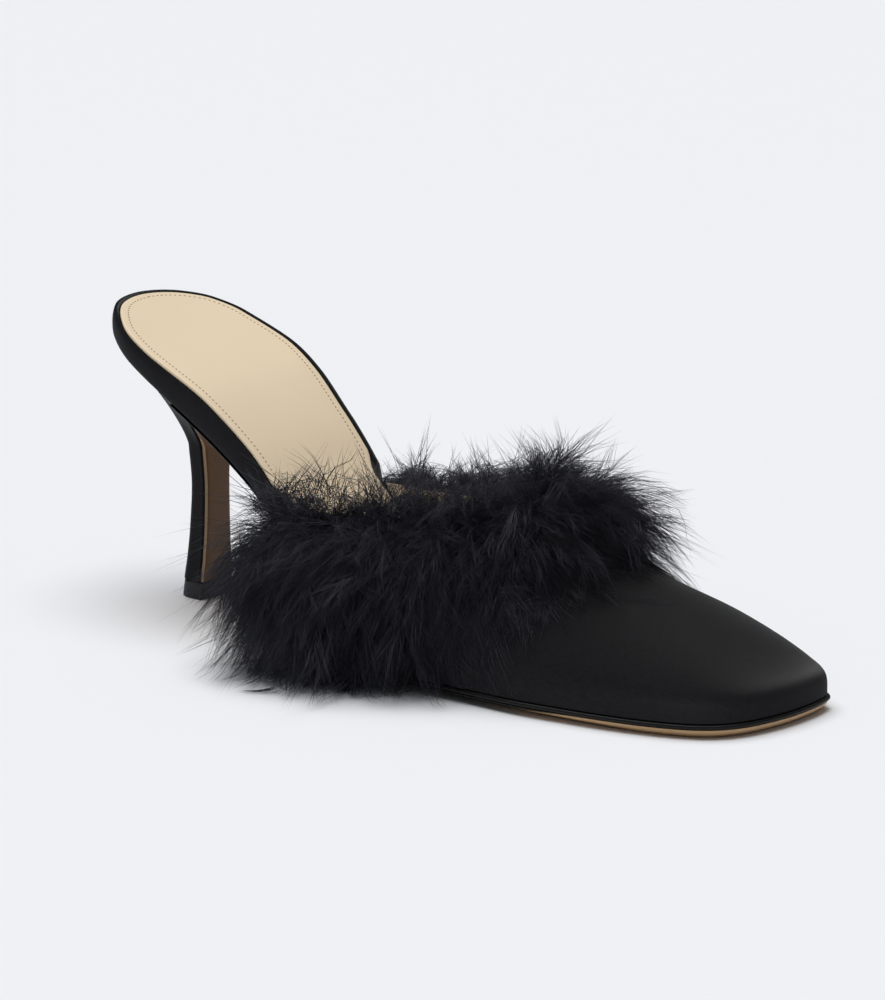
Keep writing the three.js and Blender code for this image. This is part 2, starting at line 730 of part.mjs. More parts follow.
function featherSolid() {
  const path = boaPath();
  let fur = skirtSolid(path);
  LOCK_ROWS.forEach((row) => {
    for (let i = 0; i < row.count; i += 1) fur = fur.add(featherLock(path, row, i));
  });
  const grown = -FEATHER_CLEARANCE;
  const vamp = lastSolid(UPPER_START - 0.5, grown, 3).subtract(toplineCutter(-FEATHER_CLEARANCE));
  const bed = plate(0, SHOE_LENGTH, [
    { inset: () => grown, height: (x) => seamHeight(x) - 4 },
    { inset: () => grown, height: (x) => footbedTop(x) + GAP + SOCK_THICKNESS + FEATHER_CLEARANCE },
  ]);
  const ground = new THREE.BoxGeometry(600, 300, 100);
  ground.translate(100, 0, FEATHER_FLOOR - 50);
  return largestPiece(fur.subtract(vamp).subtract(bed).subtract(toSolid(ground)));
}

// Finished pieces
const shoe = new THREE.Group();
shoe.position.x = -HEEL_CENTRE;

function addPiece(name, solid, finish) {
  const mesh = solid.getMesh();
  const geometry = new THREE.BufferGeometry();
  geometry.setAttribute('position', new THREE.Float32BufferAttribute(mesh.vertProperties, 3));
  geometry.setIndex(new THREE.Uint32BufferAttribute(mesh.triVerts, 1));
  geometry.computeVertexNormals();
  const piece = new THREE.Mesh(geometry, new THREE.MeshStandardMaterial(finish));
  piece.name = name;
  shoe.add(piece);
}

const SATIN = { color: 0x1b1b1c, roughness: 0.42, metalness: 0 };
const EDGE_LACQUER = { color: 0x0d0d0e, roughness: 0.2, metalness: 0 };
const SOLE_LEATHER = { color: 0xc9a88a, roughness: 0.5, metalness: 0 };
const SOCK_LEATHER = { color: 0xe2d0b6, roughness: 0.6, metalness: 0 };
const RUBBER = { color: 0x161616, roughness: 0.7, metalness: 0 };
const FEATHER = { color: 0x18181d, roughness: 0.85, metalness: 0 };

addPiece('outsole', outsoleSolid(), SOLE_LEATHER);
addPiece('rand', randSolid(), EDGE_LACQUER);
addPiece('footbed', footbedSolid(), SATIN);
addPiece('insole_sock', sockSolid(), SOCK_LEATHER);
addPiece('upper', upperSolid(), SATIN);
addPiece('heel', heelSolid(), SATIN);
addPiece('heel_top_piece', topPieceSolid(), RUBBER);
addPiece('feather_trim', featherSolid(), FEATHER);

const slipper = new THREE.Group();
slipper.add(shoe);

export default slipper;
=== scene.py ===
"""Marabou slipper: smooth pieces, satin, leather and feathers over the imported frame, and its studio.

Lengths in the tables are millimetres. X points to the toe, Y to the inner side of the foot and Z up.
Stations are measured from the back edge of the seat, and HEEL_CENTRE moves them into the frame.
"""

import math

import bpy
import numpy as np
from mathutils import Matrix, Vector
from mathutils.bvhtree import BVHTree


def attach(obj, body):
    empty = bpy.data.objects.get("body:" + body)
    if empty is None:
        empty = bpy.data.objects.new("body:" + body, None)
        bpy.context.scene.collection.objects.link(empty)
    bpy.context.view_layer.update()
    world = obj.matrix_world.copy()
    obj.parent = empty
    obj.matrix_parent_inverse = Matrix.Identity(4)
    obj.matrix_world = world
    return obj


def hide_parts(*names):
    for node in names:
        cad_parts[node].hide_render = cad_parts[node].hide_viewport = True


bl_info = {
    "name": "Marabou Slipper",
    "version": (1, 0, 0),
    "blender": (4, 5, 0),
    "location": "View3D > Sidebar > Slipper",
    "description": "Builds a satin slipper with a feather trim, piece by piece, over its solid model",
    "category": "Add Mesh",
}

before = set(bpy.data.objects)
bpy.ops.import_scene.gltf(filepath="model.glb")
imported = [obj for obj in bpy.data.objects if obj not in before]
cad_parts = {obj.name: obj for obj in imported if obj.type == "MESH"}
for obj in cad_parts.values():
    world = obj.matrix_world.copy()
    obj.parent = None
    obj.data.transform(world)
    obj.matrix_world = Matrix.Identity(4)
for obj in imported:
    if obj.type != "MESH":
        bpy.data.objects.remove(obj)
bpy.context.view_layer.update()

MM = 0.001
SHOE_LENGTH = 228.6
HEEL_CENTRE = 25.5
GAP = 0.3

# A span is a pair of stations between which something changes

# Outsole
OUTSOLE_START = 36
OUTSOLE_EDGE_INSET = 0.7
OUTSOLE_RIM = 1.2
SOLE_UNDERCUT = 5.5
TOE_UNDERCUT = 2.4
TOE_UNDERCUT_SPAN = (165, 215)
WAIST_LEATHER = 1.6
TREAD_LEATHER = 2.2
TREAD_SPAN = (80, 125)
# The sole's edge is black above a tan band, which is a tenth of its height along the waist and all of it at
# the toe
BARE_EDGE_AT_WAIST = 0.1
BARE_EDGE_AT_TOE = 1.3
BARE_EDGE_SPAN = (140, 208)
BLACK_EDGE_SOFTNESS = 0.1

# Rand
RAND_START = 81
RAND_WIDTH = 2.6
RAND_THICKNESS = 1.1

# Upper
UPPER_START = 81.5
UPPER_WALL = 1.8
UPPER_INSET = 0.8
SPINE_END = 203
THROAT_X = 138
TOPLINE_START = 80
TOPLINE_HEIGHT = 37.4
TOPLINE_RISE = 3.2

# Footbed
FOOTBED_STEP_SPAN = (77, 80.4)
SEAT_CURVE_SPAN = (3, 16)
SEAT_BANK = 1.7
BANK_START_SPAN = (2, 30)
BANK_END_SPAN = (74, 86)
ROLL_HEIGHT = 1.15
OUTER_ROLL_HEIGHT = 0.25
ROLL_END_SPAN = (72, 80)
INSIDE_UPPER = UPPER_INSET + UPPER_WALL + GAP

# Sock and its stitches
SOCK_THICKNESS = 0.9
SOCK_TAPER_SPAN = (74, 79.8)
SOCK_INSET = 2.3
OUTER_SOCK_INSET = 1.1
STITCH_WIDTH = 0.42
STITCH_HEIGHT = 0.2
STITCH_AHEAD = 0.2

# Heel
STEM_TOP = 42
STEM_FLAT_SHARE = 0.42
TOP_PIECE_HEIGHT = 4.5
SEAT_FRONT = 35
SEAT_INSET = 2.2
SEAT_OVERLAP = 0.12
SEAT_ROUND_SHARE = 0.3
FLARE_POWER = 1.3
BREAST_LEATHER = 1.2
BREAST_SIDE_INSET = 0.5
BREAST_DROP = 0.4
SIDEWAYS = 0.8

# Boa
BOA_OUTSET = 6.2
BOA_DROP = 4.5
CORE_LUMPS = 40
LUMP_HEIGHT = 0.12
# The core's tone sits at the dark end of the feathers' tones: painted shade deep inside the trim
CORE_SHADE_TONE = 0.1
MOST_LEAN = 0.4
SEARCH_REACH = 14.0
FLOOR_SOFTNESS = 1.6

# Plan of the last: station, outer edge and inner edge
PLAN = (
    (0, 1, 1), (4, -12, 15.2), (10, -17, 21.4), (20, -21.4, 24.4), (35, -24, 24.6), (50, -24.7, 21.6),
    (65, -25, 17.4), (80, -27, 14.9), (95, -31.6, 15.6), (110, -36.6, 19.6), (125, -39, 25.6),
    (145, -39.4, 32.4), (165, -39.2, 35.2), (185, -37, 34.8), (200, -34.1, 31.4), (212, -30.2, 25.8),
    (220, -25.8, 21.6), (225.5, -18.6, 18), (228.6, 0, 0),
)

# Side view: station, height of the seam on top of the outsole, thickness of the footbed
PROFILE = (
    (0, 72.2, 6.7), (10, 68.5, 7.3), (20, 64.6, 8), (35, 58.1, 9.4), (50, 50.3, 10.6), (65, 40.6, 10.4),
    (80, 28.6, 9.4), (95, 15.4, 7.8), (108, 6.2, 6.2), (118, 2.9, 4.9), (127, 2.2, 4.1), (165, 2.2, 3.4),
    (205, 2.2, 3.2), (228.6, 2.3, 3),
)

# Upper: station, height of the lid over the ridge, place of the ridge, fall of the lid towards its sides,
# squareness of the shoulder between lid and wall
ARCH = (
    (75, 78, -4, 0.3, 2.6), (95, 62, -3, 0.3, 2.6), (115, 50, -1, 0.3, 2.5), (138, 40.6, 3, 0.32, 2.5),
    (155, 34.4, 4, 0.33, 2.5), (175, 27.8, 4, 0.3, 2.7), (190, 23.4, 3, 0.28, 3.2), (203, 19.7, 2, 0.29, 3.8),
    (216, 16, 2, 0.31, 4.4), (228.6, 12.2, 2, 0.32, 5),
)

# Heel stem: height, front, half width, depth
STEM = (
    (0, 30.8, 6.6, 10.4), (4.5, 30.9, 6.2, 9.9), (12, 31.2, 5.5, 9.1), (20, 31.4, 5, 8.5),
    (31, 31.5, 4.8, 7.9), (42, 31.3, 5.4, 8.4),
)

# Side of the footbed, from its bottom to the sock: share of the thickness, inset, share of the roll
FOOTBED_SIDE = (
    (0, 2.2, 0), (0.03, 1.1, 0), (0.1, 0.5, 0), (0.22, 0.18, 0), (0.36, 0.04, 0), (0.5, 0, 0),
    (0.66, 0.02, 0), (0.78, 0.1, 0.03), (0.88, 0.25, 0.2), (0.95, 0.45, 0.5), (1, 0.7, 0.8),
    (1, 1, 0.97), (1, 1.3, 1), (1, 1.6, 0.9), (1, 1.9, 0.55), (1, 2.1, 0.1), (1, 2.3, 0), (1, 3.4, 0),
)

# Side of the sock: rise, inset
SOCK_SIDE = ((0, 0.5), (0, 0.05), (0.3, 0), (0.6, 0.06), (0.8, 0.25), (0.9, 0.6), (0.9, 1.2), (0.9, 2.4))

# Lights: name, azimuth, lean from the zenith, breadth in degrees, strength, pieces that they reach
LIGHTS = (
    ("light_top", 168, 10, 56, 1.0, None),
    ("light_pale", 168, 10, 56, 1.84, "all_but_satin"),
    ("light_sheen", 90, 64, 22, 1.85, "satin_pieces"),
    ("light_front", -60, 74, 40, 2.3, "satin_pieces"),
)
SKY_COLOUR = (0.93, 0.95, 1, 1)
SKY_STRENGTH = 0.14


class FeatherSizes(bpy.types.PropertyGroup):
    """Sizes of the feather trim"""
    core_radius: bpy.props.FloatProperty(
        name="Core radius", description="Radius of the twisted core that carries the feathers",
        default=0.0042, min=0.001, unit="LENGTH")
    barb_radius: bpy.props.FloatProperty(
        name="Barb radius", description="Radius of a barb at its root",
        default=0.00008, min=0.00002, precision=5, unit="LENGTH")
    floor_clearance: bpy.props.FloatProperty(
        name="Floor clearance", description="Least height of a feather above the floor",
        default=0.0006, min=0, precision=4, unit="LENGTH")
    skin_clearance: bpy.props.FloatProperty(
        name="Satin clearance", description="Least distance of a feather from the satin",
        default=0.0006, min=0, precision=4, unit="LENGTH")
    seed: bpy.props.IntProperty(
        name="Seed", description="Start of the random placing of the feathers", default=34, min=0)


class StitchSizes(bpy.types.PropertyGroup):
    """Sizes of the stitch row on the sock"""
    inset: bpy.props.FloatProperty(
        name="Stitch inset", description="Distance of the stitch row from the sock's edge",
        default=0.0022, min=0, unit="LENGTH")
    spacing: bpy.props.FloatProperty(
        name="Stitch spacing", description="Distance from one stitch to the next",
        default=0.0014, min=0.0003, precision=4, unit="LENGTH")
    length: bpy.props.FloatProperty(
        name="Stitch length", description="Length of one stitch",
        default=0.0008, min=0.0001, precision=4, unit="LENGTH")


class SlipperColours(bpy.types.PropertyGroup):
    """Colours of the finishes"""
    satin: bpy.props.FloatVectorProperty(
        name="Satin", description="Colour of the satin on the upper, footbed and heel",
        default=(0.0078, 0.0078, 0.0088), min=0, max=1, subtype="COLOR")
    feather: bpy.props.FloatVectorProperty(
        name="Feather", description="Colour of the marabou", default=(0.0084, 0.0082, 0.0142),
        min=0, max=1, subtype="COLOR")
    sock: bpy.props.FloatVectorProperty(
        name="Sock", description="Colour of the sock leather", default=(0.83, 0.68, 0.48),
        min=0, max=1, subtype="COLOR")
    sole: bpy.props.FloatVectorProperty(
        name="Sole", description="Colour of the sole leather", default=(0.60, 0.40, 0.22),
        min=0, max=1, subtype="COLOR")
    breast: bpy.props.FloatVectorProperty(
        name="Breast", description="Colour of the leather down the heel's breast",
        default=(0.16, 0.09, 0.04), min=0, max=1, subtype="COLOR")


class StudioSizes(bpy.types.PropertyGroup):
    """Camera and floor of the studio"""
    lens: bpy.props.FloatProperty(
        name="Lens", description="Focal length of the camera", default=196.0, min=20, unit="CAMERA")
    camera_place: bpy.props.FloatVectorProperty(
        name="Camera place", description="Where the camera stands", default=(0.99736, -1.03228, 0.36137),
        subtype="TRANSLATION")
    camera_aim: bpy.props.FloatVectorProperty(
        name="Camera aim", description="The point that the camera looks at", default=(0.0835, 0.0033, 0.0383),
        subtype="TRANSLATION")
    floor_colour: bpy.props.FloatVectorProperty(
        name="Floor", description="Colour of the floor", default=(0.86, 0.87, 0.895), min=0, max=1,
        subtype="COLOR")
    floor_size: bpy.props.FloatProperty(
        name="Floor size", description="Side of the square floor", default=14.0, min=1, unit="LENGTH")


# Curves through the tables

def to_arc(x):
    return np.arccos(1 - 2 * np.clip(x, 0, SHOE_LENGTH) / SHOE_LENGTH)


def from_arc(arc):
    return SHOE_LENGTH / 2 * (1 - np.cos(arc))


def plain(x):
    return x


def cubic(start, end, start_slope, end_slope, width, t):
    """Point of the smooth curve between two values, with a slope at each of them."""
    rise = (3 - 2 * t) * t * t
    leaving = (t ** 3 - 2 * t ** 2 + t) * width * start_slope
    arriving = (t ** 3 - t ** 2) * width * end_slope
    return start * (1 - rise) + end * rise + leaving + arriving


class Column:
    """Smooth curve through one column of a table, which keeps between its rows."""

    def __init__(self, rows, index, warp=plain):
        self.warp = warp
        self.at = np.array([warp(row[0]) for row in rows], float)
        self.value = np.array([row[index] for row in rows], float)
        slope = np.diff(self.value) / np.diff(self.at)
        product = slope[:-1] * slope[1:]
        total = np.where(product > 0, slope[:-1] + slope[1:], 1)
        middle = np.where(product > 0, 2 * product / total, 0)
        self.tangent = np.concatenate([slope[:1], middle, slope[-1:]])

    def __call__(self, x):
        u = np.clip(self.warp(np.asarray(x, float)), self.at[0], self.at[-1])
        i = np.clip(np.searchsorted(self.at, u, side="right") - 1, 0, len(self.at) - 2)
        width = self.at[i + 1] - self.at[i]
        t = (u - self.at[i]) / width
        return cubic(self.value[i], self.value[i + 1], self.tangent[i], self.tangent[i + 1], width, t)


outer_edge = Column(PLAN, 1, to_arc)
inner_edge = Column(PLAN, 2, to_arc)
seam_height = Column(PROFILE, 1)
footbed_thickness = Column(PROFILE, 2)
arch_crown = Column(ARCH, 1)
arch_ridge = Column(ARCH, 2)
arch_fall = Column(ARCH, 3)
arch_square = Column(ARCH, 4)
stem_front = Column(STEM, 1)
stem_half = Column(STEM, 2)
stem_depth = Column(STEM, 3)


def mix(a, b, t):
    return a + (b - a) * t


def smoothstep(x, low, high):
    t = np.clip((np.asarray(x, float) - low) / (high - low), 0, 1)
    return t * t * (3 - 2 * t)


def unit(v):
    return v / np.maximum(np.linalg.norm(v, axis=-1, keepdims=True), 1e-9)


def distances(points):
    """Length along a line of points, up to each of them."""
    return np.concatenate([[0], np.cumsum(np.linalg.norm(np.diff(points, axis=0), axis=1))])


def leather(x):
    return mix(WAIST_LEATHER, TREAD_LEATHER, smoothstep(x, *TREAD_SPAN))


def upper_foot(x):
    return seam_height(x) + GAP + RAND_THICKNESS + GAP


def topline(x):
    return TOPLINE_HEIGHT + TOPLINE_RISE * smoothstep(x, TOPLINE_START, THROAT_X)


def footbed_top(x):
    return seam_height(x) + GAP + footbed_thickness(x)


def bank(x, side):
    """Drop of the footbed's top towards its outer edge, along the seat and the waist."""
    return (side < 0) * SEAT_BANK * smoothstep(x, *BANK_START_SPAN) * (1 - smoothstep(x, *BANK_END_SPAN))


def by_side(x, side, inner, outer):
    """A size that both edges share at the back, and that the outer edge changes past the seat's curve."""
    return mix(inner, outer, smoothstep(x, *SEAT_CURVE_SPAN)) if side < 0 else inner


def side_line(arcs, side, inset):
    """Plan points along one edge, moved inwards. Side is -1 for the outer edge and 1 for the inner."""
    edge = outer_edge if side < 0 else inner_edge
    x = from_arc(arcs)
    step = 1e-3
    low = np.clip(arcs - step, 0, math.pi)
    high = np.clip(arcs + step, 0, math.pi)
    along = unit(np.stack([from_arc(high) - from_arc(low), edge(from_arc(high)) - edge(from_arc(low))], -1))
    along[arcs > math.pi - 1e-6] = (0, -side)
    along[arcs < 1e-6] = (0, side)
    inward = np.stack([along[:, 1], -along[:, 0]], -1) * side * inset(x)[:, None]
    if arcs[0] > 1e-6:
        inward[0, 0] = 0
    return np.stack([x, edge(x)], -1) + inward


def raised(line, heights):
    """Plan points with their heights."""
    return np.concatenate([line, heights[:, None]], axis=1)


# Skins

MERGE_DISTANCE = 0.000004


def in_frame(points):
    """Points of the station frame, in millimetres, moved into the shared frame, in metres."""
    return (points - (HEEL_CENTRE, 0, 0)) * MM


def deselect():
    if bpy.context.object and bpy.context.object.mode != "OBJECT":
        bpy.ops.object.mode_set(mode="OBJECT")
    bpy.ops.object.select_all(action="DESELECT")


def activate(piece):
    deselect()
    piece.select_set(True)
    bpy.context.view_layer.objects.active = piece


def skin(name, points, unrolled=None):
    """A grid whose vertices lie on the given rows of points, in millimetres of the station frame."""
    rows, columns = points.shape[:2]
    deselect()
    bpy.ops.mesh.primitive_grid_add(x_subdivisions=columns - 1, y_subdivisions=rows - 1, size=1)
    piece = bpy.context.object
    piece.name = piece.data.name = name
    mesh = piece.data
    flat = np.empty(len(mesh.vertices) * 3, np.float32)
    mesh.vertices.foreach_get("co", flat)
    flat = flat.reshape(-1, 3)
    column = np.rint((flat[:, 0] + 0.5) * (columns - 1)).astype(int)
    row = np.rint((flat[:, 1] + 0.5) * (rows - 1)).astype(int)
    mesh.vertices.foreach_set("co", in_frame(points[row, column]).astype(np.float32).ravel())
    if unrolled is not None:
        corner = np.empty(len(mesh.loops), np.int32)
        mesh.loops.foreach_get("vertex_index", corner)
        cloth = (unrolled[row, column] * MM)[corner]
        mesh.uv_layers.active.name = "Cloth"
        mesh.uv_layers.active.data.foreach_set("uv", cloth.astype(np.float32).ravel())
    mesh.update()
    return piece


def open_merged(piece):
    """Opens a skin for editing, with its seams and poles merged and all of it selected."""
    activate(piece)
    bpy.ops.object.mode_set(mode="EDIT")
    bpy.ops.mesh.select_all(action="SELECT")
    bpy.ops.mesh.remove_doubles(threshold=MERGE_DISTANCE)
    bpy.ops.mesh.select_all(action="SELECT")


def close(piece):
    """Merges the seams of a closed skin, fills its flat ends and points its faces outwards."""
    open_merged(piece)
    bpy.ops.mesh.fill_holes(sides=0)
    bpy.ops.mesh.select_all(action="SELECT")
    bpy.ops.mesh.normals_make_consistent(inside=False)
    bpy.ops.object.mode_set(mode="OBJECT")


def bevel(piece, width, segments=2, angle=40):
    activate(piece)
    edge = piece.modifiers.new("Edge", "BEVEL")
    edge.width = width
    edge.segments = segments
    edge.limit_method = "ANGLE"
    edge.angle_limit = math.radians(angle)
    bpy.ops.object.modifier_apply(modifier=edge.name)


def smooth(piece, angle=35):
    activate(piece)
    bpy.ops.object.shade_smooth_by_angle(angle=math.radians(angle))


def join(pieces):
    deselect()
    for piece in pieces:
        piece.select_set(True)
    bpy.context.view_layer.objects.active = pieces[0]
    bpy.ops.object.join()
    return pieces[0]


def mark(piece, name, values):
    """Keeps a number for each vertex, which the piece's finish reads."""
    numbers = piece.data.attributes.new(name, "FLOAT", "POINT")
    numbers.data.foreach_set("value", values.astype(np.float32))


def dress(piece, material, *nodes, slot):
    """Gives a finished piece its material and its body, and hides the solids that it stands for; the slot is
    not used.
    """
    if not piece.data.materials:
        piece.data.materials.append(material)
    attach(piece, "root")
    for node in nodes:
        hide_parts(node)


def unroll(points):
    """Lengths along the rows and columns of a grid, used as cloth coordinates."""
    across = np.linalg.norm(np.diff(points, axis=1), axis=-1)
    across = np.concatenate([np.zeros((len(points), 1)), np.cumsum(across, axis=1)], axis=1)
    along = np.linalg.norm(np.diff(points, axis=0), axis=-1).mean(axis=1)
    along = np.concatenate([[0], np.cumsum(along)])
    return np.stack([across, np.repeat(along[:, None], points.shape[1], axis=1)], -1)


def plate(name, start, end, rings, stations):
    """Slab over the plan through rings from bottom to top: an inset and a height, by station and side."""
    arcs = np.linspace(to_arc(start), to_arc(end), stations)
    columns = {-1: [], 1: []}
    for inset, height in rings:
        for side, column in columns.items():
            line = side_line(arcs, side, lambda x: inset(x, side))
            column.append(raised(line, height(line[:, 0], side)))
    middle = [(columns[-1][k] + columns[1][k]) / 2 for k in (0, -1)]
    loop = [middle[0], *columns[-1], middle[1], *columns[1][::-1], middle[0]]
    points = np.stack(loop, axis=1)
    piece = skin(name, points, unroll(points))
    close(piece)
    return piece


# Leather sole

def always(value):
    return lambda x: np.full_like(np.asarray(x, float), value)


def rounded_slab(edge, bottom_inset, low, high, steps=8):
    """Rings of a slab whose side is a soft curve from the bottom inset out to the edge."""
    rings = [(lambda x, side: edge + bottom_inset(x) + OUTSOLE_RIM, lambda x, side: low(x))]
    for k in range(steps + 1):
        t = k / steps
        share = 1 - math.sin(t * math.pi / 2)
        rings.append((lambda x, side, s=share: edge + bottom_inset(x) * s,
                      lambda x, side, t=t: mix(low(x), high(x), t)))
    rings.append((lambda x, side: np.full_like(x, edge + OUTSOLE_RIM), lambda x, side: high(x)))
    return rings


def breast_levels():
    """Height, outer corner and inner corner of the leather flap down the heel's breast."""
    levels = []
    for z in np.linspace(TOP_PIECE_HEIGHT + GAP, STEM_TOP, 26):
        half = float(stem_half(z))
        front = float(stem_front(z))
        levels.append((np.array([front, -half, z]), np.array([front, half, z])))
    low = stem_ring(STEM_TOP, 0)
    high = seat_ring()
    for t in np.linspace(0, 1, 31)[1:]:
        ring = flare(low, high, t)
        shift = np.array([(BREAST_LEATHER + GAP) * t ** FLARE_POWER, 0, -BREAST_DROP * t])
        levels.append((ring[SIDE_POINTS] + shift, ring[-SIDE_POINTS] + shift))
    return levels


def breast_flap():
    rows = []
    for outer, inner in breast_levels():
        outer = outer + (0, BREAST_SIDE_INSET, 0)
        inner = inner - (0, BREAST_SIDE_INSET, 0)
        back = np.array([BREAST_LEATHER, 0, 0])
        front = [mix(outer, inner, t) for t in np.linspace(0, 1, 9)]
        rows.append([outer - back, *front, inner - back, outer - back])
    points = np.array(rows)
    flap = skin("breast_flap", points, unroll(points))
    close(flap)
    bevel(flap, 0.00025, 2)
    return flap


# Heel

SIDE_POINTS = 28
FRONT_POINTS = 6


def heel_half(side, front):
    half = [side(i / SIDE_POINTS) for i in range(SIDE_POINTS + 1)]
    half += [front(i / FRONT_POINTS) for i in range(1, FRONT_POINTS + 1)]
    return half


def close_ring(outer, inner):
    return np.array([*outer, *inner[1:-1][::-1]])


def stem_ring(z, cut):
    """Level section of the stem: a rounded back, straight sides and a flat breast."""
    rounded = 0.62
    front = float(stem_front(z)) - cut
    depth = float(stem_depth(z)) - cut
    width = float(stem_half(z))
    corner = front - depth * STEM_FLAT_SHARE

    def half(sign):
        def side(t):
            if t > rounded:
                return np.array([mix(corner, front, (t - rounded) / (1 - rounded)), sign * width, z])
            turn = t / rounded * math.pi / 2
            back = corner - (depth - (front - corner)) * math.cos(turn)
            return np.array([back, sign * width * math.sin(turn), z])
        return heel_half(side, lambda t: np.array([front, sign * width * (1 - t), z]))
    return close_ring(half(-1), half(1))


def seat_ring():
    """Outline of the heel under the seat."""
    def half(sign):
        edge = outer_edge if sign < 0 else inner_edge

        def place(x, y):
            return np.array([x, y, float(seam_height(x)) + GAP + SEAT_OVERLAP])

        def side(t):
            x = float(from_arc(mix(to_arc(SEAT_INSET), to_arc(SEAT_FRONT), t)))
            outline = float(edge(x)) - sign * SEAT_INSET
            return place(x, outline * math.sqrt(float(smoothstep(t, 0, SEAT_ROUND_SHARE))))
        width = float(edge(SEAT_FRONT)) - sign * SEAT_INSET
        return heel_half(side, lambda t: place(SEAT_FRONT, width * (1 - t)))
    return close_ring(half(-1), half(1))


def flare(low, high, t):
    spread = t ** FLARE_POWER
    return np.stack([mix(low[:, 0], high[:, 0], spread), mix(low[:, 1], high[:, 1], spread),
                     mix(low[:, 2], high[:, 2], t)], -1)


def ring_stack(name, rings):
    points = np.array([np.concatenate([ring, ring[:1]]) for ring in rings])
    piece = skin(name, points, unroll(points))
    close(piece)
    return piece


# Upper

ARCH_COLUMNS = 81
ARCH_ROWS = 150


def arch_points():
    """Grid of the upper's outer face: rows run forward, and columns from the inner foot to the outer."""
    arcs = np.linspace(to_arc(UPPER_START), math.pi, ARCH_ROWS)
    x = from_arc(arcs)
    turn = np.linspace(math.pi / 2, 0, ARCH_COLUMNS // 2 + 1)
    halves = {}
    cloth = {}
    for side in (-1, 1):
        edge = side_line(arcs, side, always(UPPER_INSET))
        ridge = np.minimum(x, SPINE_END)
        spine = np.stack([ridge, arch_ridge(ridge)], -1)
        square = arch_square(x)[:, None]
        reach = np.sin(turn)[None, :] ** (2 / square)
        plan = mix(spine[:, None, :], edge[:, None, :], reach[..., None])
        foot = upper_foot(edge[:, 0])[:, None]
        wall = np.maximum(1 - reach ** square, 0) ** (1 / square)
        z = foot + lid_rise(plan[..., 0], plan[..., 1], foot) * wall
        points = np.concatenate([plan, z[..., None]], -1)
        step = np.linalg.norm(np.diff(points[:, ::-1], axis=1), axis=-1)
        run = np.concatenate([np.zeros((ARCH_ROWS, 1)), np.cumsum(step, axis=1)], axis=1)[:, ::-1]
        heading = unit(edge - spine)
        halves[side] = points
        cloth[side] = spine[:, None, :] + heading[:, None, :] * run[..., None]
    points = np.concatenate([halves[1], halves[-1][:, ::-1][:, 1:]], axis=1)
    unrolled = np.concatenate([cloth[1], cloth[-1][:, ::-1][:, 1:]], axis=1)
    return points, unrolled


def lid_rise(x, y, foot):
    """Height of the lid above the upper's foot, over a point of the plan."""
    back = np.minimum(x, SPINE_END)
    ridge = arch_ridge(back)
    edge = np.where(y < ridge, outer_edge(back) + UPPER_INSET, inner_edge(back) - UPPER_INSET)
    share = (y - ridge) / (edge - ridge)
    return (arch_crown(x) - foot) * (1 - arch_fall(x) * share ** 2)


# Boa and feathers

def topline_point(x, sign):
    edge = float(outer_edge(x)) + UPPER_INSET if sign < 0 else float(inner_edge(x)) - UPPER_INSET
    foot = float(upper_foot(x))
    height = float(topline(x))
    low, high = 0.0, 1.0
    for _ in range(30):
        middle = (low + high) / 2
        rise = max(1 - middle ** float(arch_square(x)), 0) ** (1 / float(arch_square(x)))
        z = foot + (float(arch_crown(x)) - foot) * (1 - float(arch_fall(x)) * middle ** 2) * rise
        low, high = (middle, high) if z > height else (low, middle)
    return np.array([x, mix(float(arch_ridge(x)), edge, low), height])


class Boa:
    """Path of the boa: along the topline from the outer side, round the throat, to the inner side."""

    def __init__(self):
        steps = 7
        sides = {}
        for sign in (-1, 1):
            line = []
            for i in range(steps):
                x = mix(UPPER_START + 1, THROAT_X - 2, math.sin(i / steps * math.pi / 2))
                point = topline_point(x, sign)
                out = 1 - 0.75 * (i / steps) ** 4
                line.append(point + (BOA_OUTSET * (1 - out), sign * BOA_OUTSET * out, -BOA_DROP))
            sides[sign] = line
        throat = np.array([THROAT_X + BOA_OUTSET, float(arch_ridge(THROAT_X)), float(topline(THROAT_X)) - 1])
        knots = np.array([*sides[-1], throat, *sides[1][::-1]])
        chord = np.concatenate([[0], np.cumsum(np.linalg.norm(np.diff(knots, axis=0), axis=1) ** 0.5)])
        dense = np.linspace(0, chord[-1], 600)
        i = np.clip(np.searchsorted(chord, dense, side="right") - 1, 0, len(knots) - 2)
        slope = np.diff(knots, axis=0) / np.diff(chord)[:, None]
        tangent = np.concatenate([slope[:1], (slope[:-1] + slope[1:]) / 2, slope[-1:]])
        width = (chord[i + 1] - chord[i])[:, None]
        t = (dense - chord[i])[:, None] / width
        path = cubic(knots[i], knots[i + 1], tangent[i], tangent[i + 1], width, t)
        length = distances(path)
        self.share = length / length[-1]
        self.path = path
        self.run = unit(np.gradient(path, self.share, axis=0))
        self.outward = unit(np.stack([self.run[:, 1], -self.run[:, 0], np.zeros(len(path))], -1))

    def at(self, along, table):
        return np.stack([np.interp(along, self.share, table[:, k]) for k in range(3)], -1)


UP = np.array([0.0, 0.0, 1.0])

# Feathers along the boa: share of its length, angle above the level outward direction in degrees,
# lean towards the boa's inner end, length of the shaft, and fall per unit of length
SWEEP = (
    (0.00, -22, 0.10, 20, 0.62),
    (0.08, -20, 0.00, 25, 0.66),
    (0.20, -20, -0.05, 28, 0.62),
    (0.34, -18, 0.10, 27, 0.55),
    (0.44, -4, 0.15, 27, 0.42),
    (0.52, 14, 0.00, 30, 0.40),
    (0.62, 10, -0.15, 26, 0.45),
    (0.78, 2, 0.05, 21, 0.50),
    (0.92, -4, 0.35, 19, 0.55),
    (1.00, -8, 0.75, 16, 0.55),
)
sweep_angle = Column(SWEEP, 1)
sweep_lean = Column(SWEEP, 2)
sweep_length = Column(SWEEP, 3)
sweep_fall = Column(SWEEP, 4)


